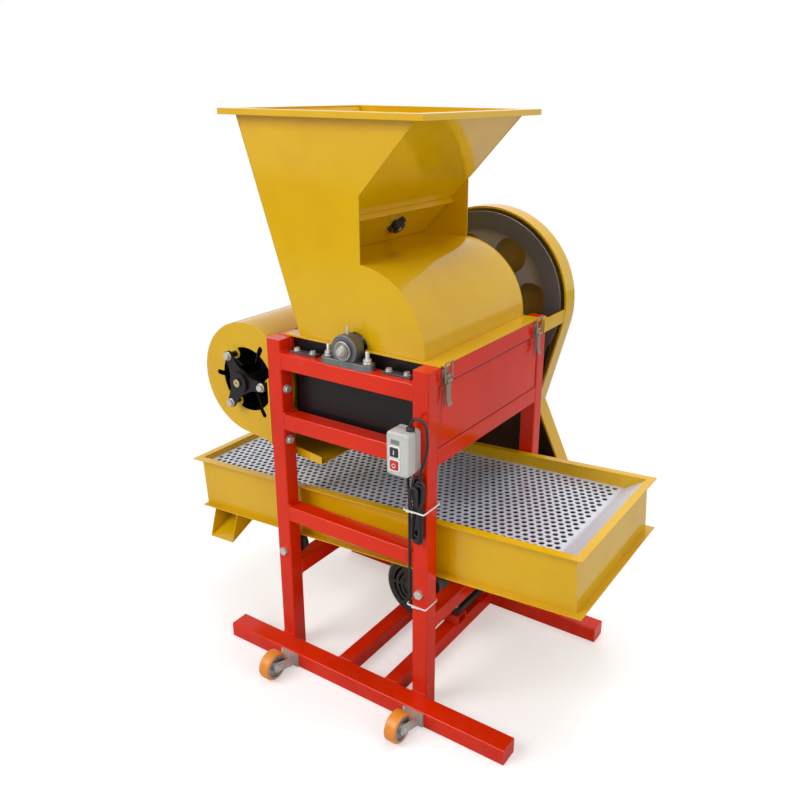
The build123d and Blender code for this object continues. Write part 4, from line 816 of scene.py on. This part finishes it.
guard = finished("belt_guard", yellow_enamel, 0.0005, wide=0.0032, chosen=at_rear)
# The guard's inner faces take this painted shade and belt dust.
two_tone(guard, belt_dust.owner, inside_guard)
guard_arms = [
    [spot(232.2, 622, z) for z in (797, 826)],
    [spot(228.0, 622, z) for z in (800, 826)],
    [spot(220.4, depth, 795) for depth in (508, 532)],
    [spot(220.4, depth, 828) for depth in (508, 532)],
    [spot(-224.2, 622, z) for z in (752, 775)],
    [spot(-220.4, 507, z) for z in (752, 776)],
]
beads("guard_welds", guard_arms, 0.0022, 0.0018, "frame", yellow_enamel)


# Fan: yellow wrapped shell with end plates, black three-armed bearing carriers and a paddle wheel.
# The carriers stand on spacers before the inlets; the inside faces of the shell are near-black.

inside_black = enamel("fan_soot", (34, 31, 28), (20, 19, 18), (70, 62, 50), 0.55)
fan_shell = finished("fan_housing", yellow_enamel, 0.0005)
fan_reach = 0.1393
fan_half = 0.223
duct_start = -0.215
machine_middle = behind(270)


def inside_fan(at, normal):
    inward = Vector((fan_place[0] / 1000 - at.x, 0, fan_place[1] / 1000 - at.z))
    if at.x > duct_start or abs(at.y - machine_middle) > fan_half:
        return False
    if abs(normal.y) > 0.8:
        return normal.y * (at.y - machine_middle) < 0
    return from_axis(fan_place, at) < fan_reach and normal.dot(inward) > 0


# The shell's inside faces get a near-black finish, unlike its yellow outside.
two_tone(fan_shell, inside_black, inside_fan)
finished("fan_spiders", black_enamel, cast_edge)
carrier_webs = Shape()
web_outline = []
arm_end = 12.2
for number in range(3):
    lean = radians(120 * number)
    arm = [(15.0, -26.0), (40.0, -15.5), (carrier_reach, -12.0)]
    for turn in range(-72, 73, 18):
        arm.append((carrier_reach + arm_end * cos(radians(turn)), arm_end * sin(radians(turn))))
    arm += [(carrier_reach, 12.0), (40.0, 15.5)]
    for along, across in arm:
        x = along * cos(lean) - across * sin(lean)
        z = along * sin(lean) + across * cos(lean)
        web_outline.append((x / 1000, z / 1000))
for face, outward in fan_faces:
    turned_outline = web_outline if outward > 0 else [(x, -z) for x, z in web_outline[::-1]]
    carrier_webs.rings(
        [(0.0005, turned_outline), (0.0064, turned_outline)],
        spot(fan_place[0], face + outward * web_stand, fan_place[1]), (0, outward, 0),
    )
carrier_webs.put("carrier_webs", "frame", black_enamel)
sooty_steel = bare_metal("sooty_steel", (58, 55, 52), (36, 33, 30), 0.5)
finished("fan_impeller", sooty_steel)
finished("fan_pulley", pulley_iron, soft_edge)
fan_cap = Shape()
fan_cap.turned(
    [(0, 0.0098), (0.0002, 0.0098), (0.0008, 0.0092), (0.0008, 0.003), (-0.0006, 0.0012)],
    spot(fan_place[0], fan_faces[0][0] - 38, fan_place[1]), to_front, 32,
)
shaft_brass = bare_metal("shaft_end", (196, 178, 130), (150, 128, 84), 0.3)
fan_cap.put("fan_shaft_end", "fan", shaft_brass)


# Motor: ribbed body with feet and terminal box on slide rails, a ringed fan cowl and a stepped pulley.
# It is dipped in a satin green-black enamel; a bare plate is riveted to its side.

motor_enamel = enamel("motor_enamel", (44, 52, 48), (26, 33, 30), (110, 108, 98), 0.38)
for node in ("motor_body", "motor_fan_cover"):
    finished(node, motor_enamel, 0.0008)
finished("motor_shaft", machined)
finished("motor_pulley", pulley_iron, soft_edge)
lid_low = 281.0
lid_top = 287.2
lead_entry = spot(75, 300, 261)
terminal_lid = Shape()
terminal_lid.block(spot(12.5, 297.5, lid_low), spot(89.5, 382.5, lid_top), 0.0016, 3)
terminal_lid.hexagon(
    [(0, 0.02), (0.0006, 0.02), (0.0055, 0.02), (0.006, 0.0075)], 0.0175, lead_entry, to_front
)
terminal_lid.turned(
    [(0.006, 0.0066), (0.011, 0.0066), (0.0125, 0.0058), (0.0125, 0.0031)], lead_entry, to_front
)
terminal_lid.put("terminal_lid", "frame", motor_enamel)
rivet = [(0, 0.0022), (0.0006, 0.0021), (0.0011, 0.0014), (0.0013, 0.0004)]
side_plate = Shape()
side_plate.block(spot(134.1, 300, 140), spot(134.9, 362, 177), 0.0003, 1)
for depth in (304, 358):
    for z in (144, 173):
        side_plate.turned(rivet, spot(134.8, depth, z), (1, 0, 0), 12)
side_plate.put("motor_side_plate", "frame", zinc)
lid_screw = [(0, 0.0036), (0.0012, 0.0036), (0.0026, 0.0028), (0.0031, 0.0012), (0.0026, 0.0004)]
lid_screws = Shape()
for x in (17.5, 84.5):
    for depth in (302.5, 377.5):
        lid_screws.turned(lid_screw, spot(x, depth, lid_top - 0.2), up, 16)
lid_screws.put("terminal_screws", "frame", zinc)


# Hopper and drum cover: yellow sheet welded in one piece on a foot flange, hinged on the left rail.
# A sliding gate under the sloping wall is clamped by a knob, and two draw latches hold the cover shut.

for node in ("hopper_side_plates", "hopper_left_wall", "hopper_right_wall", "drum_cover", "hopper_rim",
             "cover_flange"):
    finished(node, yellow_enamel)
aged_zinc = bare_metal("aged_zinc", (158, 146, 130), (112, 98, 82), 0.36)
for node in ("cover_hinges", "latch_bases", "front_latch_lever", "rear_latch_lever", "front_latch_loop",
             "rear_latch_loop"):
    finished(node, aged_zinc, 0.0004)
gate = finished("feed_gate", yellow_enamel)
stud_middle = spot(-71.74, 297, 1064.84)
stud_axis = Vector((0.7329, 0, -0.6804))


def on_stud(at, normal):
    away = at - stud_middle
    along = away.dot(stud_axis)
    return along > 0.004 and (away - stud_axis * along).length < 0.0058


two_tone(gate, zinc, on_stud)
hopper_sides = (50.0, 490.0)
throat = (-118.0, 1015.0)
mouth = (161.0, 1315.5)
cover_radius = 178.0
hopper_seams = []
for depth in hopper_sides:
    low, high = (spot(x, depth, z) for x, z in (throat, mouth))
    slope = [low.lerp(high, share) for share in (0.48, 0.985)]
    arch = []
    for turn in range(6, 91, 4):
        x = shaft_place[0] + cover_radius * sin(radians(turn))
        z = shaft_place[1] + cover_radius * cos(radians(turn))
        arch.append(spot(x, depth, z))
    hopper_seams += [[spot(-160, depth, 836), spot(-318, depth, 1312)], slope, arch]
beads("hopper_seams", hopper_seams, 0.0013, 0.0011, "hopper", yellow_enamel)


def moulded(name, colour, rough, grain=1200.0):
    """Moulded plastic with a fine spark texture and handling marks."""
    plastic = material_tree(name)
    smudge = plastic.between(plastic.noise(60.0, 5.0, 0.6), 0.4, 0.75)
    spark = plastic.noise(grain, 2.0)
    fresh = shade(*colour)
    dull = (*(part * 0.8 for part in fresh[:3]), 1.0)
    return plastic.surface(
        Base_Color=plastic.blend(smudge * 0.35, fresh, dull),
        Roughness=rough + smudge * 0.12,
        Normal=plastic.bump(spark, 0.1, 0.0002),
    )


black_moulding = moulded("black_moulding", (34, 33, 33), 0.36)
finished("gate_knob", black_moulding, 0.0025, segments=3)


# Sieve: a yellow tray on four rollers, shaken by a rod from the eccentric, with a punched zinc deck.
# The deck is galvanised sheet, punched in staggered rows between plain borders, its high end bent up.
# Painted shade, with some dust, darkens the tray below it.

pan = finished("tray_floor", yellow_enamel)
finished("outlet_chute", yellow_enamel)
# Dark grey-brown below the deck is painted shade inside the tray, with some dust.
pan_dirt = enamel("pan_dirt", (58, 54, 52), (40, 36, 34), (112, 100, 84), 0.6)
two_tone(pan, pan_dirt, lambda at, normal: normal.z > 0.7)
finished("shaker_rod", machined, soft_edge)
sieve_zinc = bare_metal(
    "sieve_zinc", (214, 219, 230), (186, 191, 203), 0.34, (3.0, 60.0, 60.0), 0.3, 0.45
)
tray_height = 0.134
tray_tilt = 0.06
rim_height = 0.4565
tray_place = Matrix.Translation((-tray_height * sin(tray_tilt) / 2, machine_middle, rim_height))
tray_place = tray_place @ Matrix.Rotation(-tray_tilt, 4, "Y")
deck_drop = 0.025
deck_fall = 0.01857
deck_place = tray_place @ Matrix.Translation((0, 0, -deck_drop)) @ Matrix.Rotation(deck_fall, 4, "Y")
tray = finished("tray_frame", yellow_enamel, cut=deck_place)
deck_sheet = 0.0025
deck_end = 0.5375
lip_foot = 0.4855
lip_top = -0.0035
deck_side = 0.204
hole_pitch = 0.0189
row_pitch = hole_pitch * sqrt(3) / 2
hole_radius = 0.0066
hole_sides = 16
deck_columns = 53
deck_rows = 24
field_start = -0.534
cell_shape = bmesh.new()
half_cell = (hole_pitch / 2, row_pitch / 2)
half_border = [(half_cell[0], -half_cell[1] + step * half_cell[1] / 2) for step in range(4)]
half_border += [(half_cell[0] - step * half_cell[0] / 2, half_cell[1]) for step in range(4)]
border = half_border + [(-x, -y) for x, y in half_border]
sheets = []
for z in (0.0, -deck_sheet):
    outer = [cell_shape.verts.new((x, y, z)) for x, y in border]
    inner = []
    for x, y in border:
        reach = Vector((x / half_cell[0], y / half_cell[1])).normalized() * hole_radius
        inner.append(cell_shape.verts.new((reach.x, reach.y, z)))
    sheets.append((outer, inner))
(top_out, top_in), (low_out, low_in) = sheets
for index in range(hole_sides):
    after = (index + 1) % hole_sides
    cell_shape.faces.new((top_out[index], top_out[after], top_in[after], top_in[index]))
    cell_shape.faces.new((low_in[index], low_in[after], low_out[after], low_out[index]))
    cell_shape.faces.new((top_in[index], top_in[after], low_in[after], low_in[index]))
cell = built("deck_cell", cell_shape)
punching = Rule(
    "punched_deck", Columns=deck_columns, Rows=deck_rows, Pitch=hole_pitch, RowPitch=row_pitch, Cell=cell
)
columns = punching.size("Columns")
rows = punching.size("Rows")
pitch = punching.size("Pitch")
spread = {"Size X": (columns - 1.0) * pitch, "Size Y": (rows - 1.0) * punching.size("RowPitch")}
grid = punching.node("GeometryNodeMeshGrid", {**spread, "Vertices X": columns, "Vertices Y": rows})
row_number = punching.node("GeometryNodeInputIndex") % rows
aside = punching.node("ShaderNodeCombineXYZ", {"X": row_number % 2.0 * (pitch * 0.5)})
staggered = punching.node("GeometryNodeSetPosition", {"Geometry": grid, "Offset": aside})
source = punching.node("GeometryNodeObjectInfo", {"Object": punching.size("Cell")}, "Geometry")
punched = punching.node("GeometryNodeInstanceOnPoints", {"Points": staggered, "Instance": source})
punched = punching.node("GeometryNodeRealizeInstances", {"Geometry": punched})
punched = punching.node("GeometryNodeMergeByDistance", {"Geometry": punched, "Distance": 0.0001})
deck = punching.run("punched_deck", punched, sieve_zinc)
bpy.data.objects.remove(cell)
deck.data.transform(deck_place @ Matrix.Translation((field_start + deck_columns * hole_pitch / 2, 0, 0)))
carried(deck, "sieve")
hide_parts("sieve_deck")


def deck_top(x):
    return -deck_drop - x * deck_fall


tray_half_length = 0.5397
tray_half_width = 0.2058
above_flange = -0.1


def under_deck(at, normal):
    here = tray_place.inverted() @ at
    between_walls = abs(here.x) < tray_half_length and abs(here.y) < tray_half_width
    return between_walls and above_flange < here.z < deck_top(here.x)


# The tray's inside walls below the deck take the same painted shade.
two_tone(tray, pan_dirt, under_deck)
proud = 0.00015
field_end = field_start + (deck_columns + 0.5) * hole_pitch
field_side = deck_rows * row_pitch / 2
deck_border = Shape()


def plain_strip(start, end, ends, lift=proud):
    """Strip without holes between two values of X and two of Y."""
    top = [(x, deck_top(x) + lift) for x in (start, end)]
    low = [(x, deck_top(x) - deck_sheet) for x in (end, start)]
    deck_border.folded(top + low, ends, tray_place)


plain_strip(-deck_end, field_start, (-deck_side, deck_side))
bend = 0.008
bend_steps = 6
under_shift = 0.0006
overlap = 0.0005
lip_line = [(field_end, deck_top(field_end))]
first = Vector((lip_foot - bend, deck_top(lip_foot - bend)))
corner = Vector((lip_foot, deck_top(lip_foot)))
last = corner + (Vector((deck_end, lip_top)) - corner).normalized() * bend
for step in range(bend_steps + 1):
    share = step / bend_steps
    lip_line.append(tuple(first.lerp(corner, share).lerp(corner.lerp(last, share), share)))
lip_under = [(x + under_shift, z - deck_sheet) for x, z in lip_line]
lip_under.append((deck_end, lip_top - 1.2 * deck_sheet))
lip_line.append((deck_end, lip_top))
lip_section = [(x, z + proud) for x, z in lip_line] + lip_under[::-1]
deck_border.folded(lip_section, (-deck_side, deck_side), tray_place)
for side in (-1, 1):
    ends = sorted((side * (field_side - overlap), side * deck_side))
    plain_strip(field_start, field_end, ends)
for row in range(deck_rows):
    start = field_start if row % 2 else field_end - hole_pitch / 2
    ends = (row * row_pitch - field_side, (row + 1) * row_pitch - field_side)
    plain_strip(start, start + hole_pitch / 2, ends, 0.0)
deck_border.put("deck_borders", "sieve", sieve_zinc, 30)
bore_reach = 0.007
bore_play = 0.0005
for node in ("left_rollers", "right_rollers"):
    rollers = finished(node, black_moulding, soft_edge)
    across = [(vertex.co.x, vertex.co.z) for vertex in rollers.data.vertices]
    middle = [(min(column) + max(column)) / 2 for column in zip(*across)]
    for vertex in rollers.data.vertices:
        away = Vector((vertex.co.x - middle[0], 0, vertex.co.z - middle[1]))
        if away.length < bore_reach:
            vertex.co += away.normalized() * bore_play


# Eccentric: a cast pulley and a ground shaft that shake the tray through the strap of the rod.
# The shaft runs in a cartridge on the rear low rail.

finished("eccentric_shaft", machined)
finished("eccentric_pulley", pulley_iron, soft_edge)


# Casters: cast iron cores with an orange tread, in pressed steel forks on the front skid.
# The tread is cast on and slightly worn; the axle is a plain hexagon bolt.

orange_tread = moulded("orange_tread", (232, 140, 42), 0.34, 700.0)
finished("caster_forks", zinc)
axle = spot(0, -112.5, 38)
tread_start = 0.0262


def parted(piece, name, chosen):
    """Second piece from the chosen faces of the first one."""
    halves = []
    for keep in (False, True):
        shape = bmesh.new()
        shape.from_mesh(piece.data)
        shape.faces.ensure_lookup_table()
        gone = [face for face in shape.faces if chosen(face.calc_center_median()) != keep]
        bmesh.ops.delete(shape, geom=gone, context="FACES")
        mesh = bpy.data.meshes.new(name)
        shape.to_mesh(mesh)
        shape.free()
        halves.append(mesh)
    piece.data, second = halves
    piece.data.name = piece.name
    return link(name, second)


def in_core(point):
    return hypot(point.y - axle.y, point.z - axle.z) < tread_start


for side in ("left", "right"):
    node = side + "_caster_wheel"
    wheel = rounded(node, cast_edge)
    core = parted(wheel, side + "_caster_core", in_core)
    stands_for(wheel, node, orange_tread)
    carried(core, side + "_caster", turned_iron)


# Switch: a light grey push-button box screwed to the right leg, with a black and a red button.
# Moulded in two halves on a gasket; a gland nut on top grips the cord.

pale_moulding = moulded("pale_moulding", (198, 198, 195), 0.4)
red_moulding = moulded("red_moulding", (196, 26, 26), 0.32)
white_moulding = moulded("white_moulding", (236, 236, 232), 0.36)
finished("switch_box", pale_moulding, soft_edge)
finished("start_button", black_moulding)
finished("stop_button", red_moulding)
finished("cable_gland", black_moulding, 0.0008)
button_x = 168.0
box_front = -46.0
start_z = 663.0
stop_z = 634.0


def square(half, corner):
    """Square outline with cut corners."""
    flat = half - corner
    return [
        (half, -flat), (half, flat), (flat, half), (-flat, half),
        (-half, flat), (-half, -flat), (-flat, -half), (flat, -half),
    ]


button_frames = Shape()
for z in (start_z, stop_z):
    button_frames.rings(
        [(-0.0005, square(0.0138, 0.003)), (0.0014, square(0.0138, 0.003)), (0.002, square(0.0132, 0.003)),
         (0.002, square(0.0111, 0.002)), (0.0012, square(0.0106, 0.002)), (-0.0005, square(0.0106, 0.002))],
        spot(button_x, box_front, z), to_front, True,
    )
button_frames.put("button_frames", "frame", white_moulding)
start_mark = Shape()
mark_low = spot(button_x - 1, box_front - 3.9, start_z - 5)
mark_high = spot(button_x + 1, box_front - 3.3, start_z + 5)
start_mark.block(mark_low, mark_high, 0.00015, 1)
start_mark.put("start_mark", "start", white_moulding)
stop_mark = Shape()
stop_mark.turned(
    [(-0.0002, 0.0048), (0.0003, 0.0048), (0.0003, 0.0034), (-0.0002, 0.0034)],
    spot(button_x, box_front - 3.5, stop_z), to_front, 32, True,
)
stop_mark.put("stop_mark", "stop", white_moulding)
window = Shape()
window.block(spot(158.4, -44.4, 679.4), spot(179.6, -43.2, 689.6), 0.0003, 1)
grey_moulding = moulded("grey_moulding", (128, 128, 126), 0.36)
window.put("switch_window", "frame", grey_moulding)
gasket = Shape()
gasket_place = spot(174.5, -17, 658.5)
corner_place = (18.5, 39.5)
corner_radius = 9.15
gasket_outline = []
for turn in range(5, 360, 10):
    corner_x = corner_place[0] if turn < 90 or turn > 270 else -corner_place[0]
    corner_z = corner_place[1] if turn < 180 else -corner_place[1]
    x = corner_x + corner_radius * cos(radians(turn))
    z = corner_z + corner_radius * sin(radians(turn))
    gasket_outline.append((x / 1000, -z / 1000))
gasket.rings([(0, gasket_outline), (0.0011, gasket_outline)], gasket_place, to_front)
gasket.put("switch_gasket", "frame", black_moulding)
box_screw = Shape()
box_screw.turned(
    [(0, 0.0032), (0.0009, 0.0032), (0.0019, 0.0024), (0.0022, 0.001), (0.0014, 0.0004)],
    Vector((0, 0, 0)), up, 16,
)
box_corners = [(spot(x, box_front, z), to_front) for x in (155.5, 193.5) for z in (617.5, 699.5)]
bolted("box_screws", box_screw.object("box_screw"), box_corners, "frame")


# Leads: a rubber cord from the gland, folded into a hank and tied to the leg, and the motor's lead.
# Black rubber sheath; white nylon ties round the leg hold both.

cord_sheath = rubber("cord_sheath", (15, 14, 15), (32, 31, 31), 0.42)
frame["nodes"]["motor_lead"].data.materials.clear()
frame["nodes"]["motor_lead"].data.materials.append(cord_sheath)
finished("cable_ties", white_moulding, 0.0004)
tie_heads = Shape()
for x, depth, z in ((186.0, -24.6, 523.8), (190.0, -10.4, 278.8)):
    tie_heads.block(spot(x - 3.2, depth - 2.4, z - 2.9), spot(x + 3.2, depth + 1.4, z + 2.9), 0.0008)
    tie_heads.block(spot(x + 2.4, depth - 1.6, z - 1.5), spot(x + 15.5, depth - 0.6, z + 1.5), 0.0003)
tie_heads.put("tie_heads", "frame", white_moulding)
cord_route = [
    (190.0, -20.0, 716.0), (190.0, -20.0, 726.0), (199.5, -19.5, 735.0), (215.0, -18.5, 735.5),
    (226.0, -17.5, 726.0), (229.0, -16.5, 702.0), (228.0, -15.0, 668.0), (220.0, -13.0, 641.0),
    (209.5, -11.5, 619.0), (207.5, -10.0, 596.0), (209.5, -7.5, 566.0),
]
tie = (202.0, 522.0)
hank_turns = (
    (-5.0, 8.5, 202.0, 451.0, 9.8, 8.0, 194.7, 590.0, 9.3),
    (-9.5, 4.5, 199.5, 456.0, 9.3, 4.0, 201.5, 599.8, 9.3),
    (-14.0, 9.0, 204.0, 446.0, 10.6, 8.5, 210.2, 593.0, 9.4),
    (-18.4, 3.0, 202.0, 452.5, 9.3, 5.5, 196.5, 578.0, 9.3),
    (-14.0, 1.0, 204.5, 461.0, 9.3, 1.5, 207.0, 585.0, 9.3),
)


def fold(x, z, bend, way):
    """Places of one fold of the cord with its straight runs; way is 1 at the top and -1 below."""
    middle = z - way * bend
    runs = (32.0, 14.0, 5.0)
    places = [(x - way * bend, middle - way * run) for run in runs]
    for turn in range(0, 181, 30):
        across = way * bend * cos(radians(turn))
        places.append((x - across, middle + way * bend * sin(radians(turn))))
    return places + [(x + way * bend, middle - way * run) for run in runs[::-1]]


for depth, right_off, low_x, low_z, low_bend, left_off, top_x, top_z, top_bend in hank_turns:
    places = [(tie[0] + right_off, tie[1]), *fold(low_x, low_z, low_bend, -1)]
    places += [(tie[0] - left_off, tie[1]), *fold(top_x, top_z, top_bend, 1)]
    cord_route += [(x, depth, z) for x, z in places]
cord_route += [(206.5, -16.0, 520.0), (204.0, -17.5, 500.0), (204.5, -18.0, 480.0)]
cord_thickness = 0.0065
cord_curve = bpy.data.curves.new("supply_cord_sheath", "CURVE")
cord_curve.dimensions = "3D"
cord_line = cord_curve.splines.new("NURBS")
cord_points = [spot(*place) for place in cord_route]
cord_line.points.add(len(cord_points) - 1)
for point, place in zip(cord_line.points, cord_points):
    point.co = (*place, 1.0)
cord_line.order_u = 3
cord_line.use_endpoint_u = True
cord_line.resolution_u = 8
cord = link("supply_cord_sheath", cord_curve)
bare_line = bpy.data.meshes.new_from_object(cord.evaluated_get(bpy.context.evaluated_depsgraph_get()))
cord_curve.bevel_depth = cord_thickness / 2
cord_curve.bevel_resolution = 4
cord_curve.use_fill_caps = True
cord_curve.materials.append(cord_sheath)
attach(cord, "frame")
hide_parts("supply_cord")
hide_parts("cord_hank")
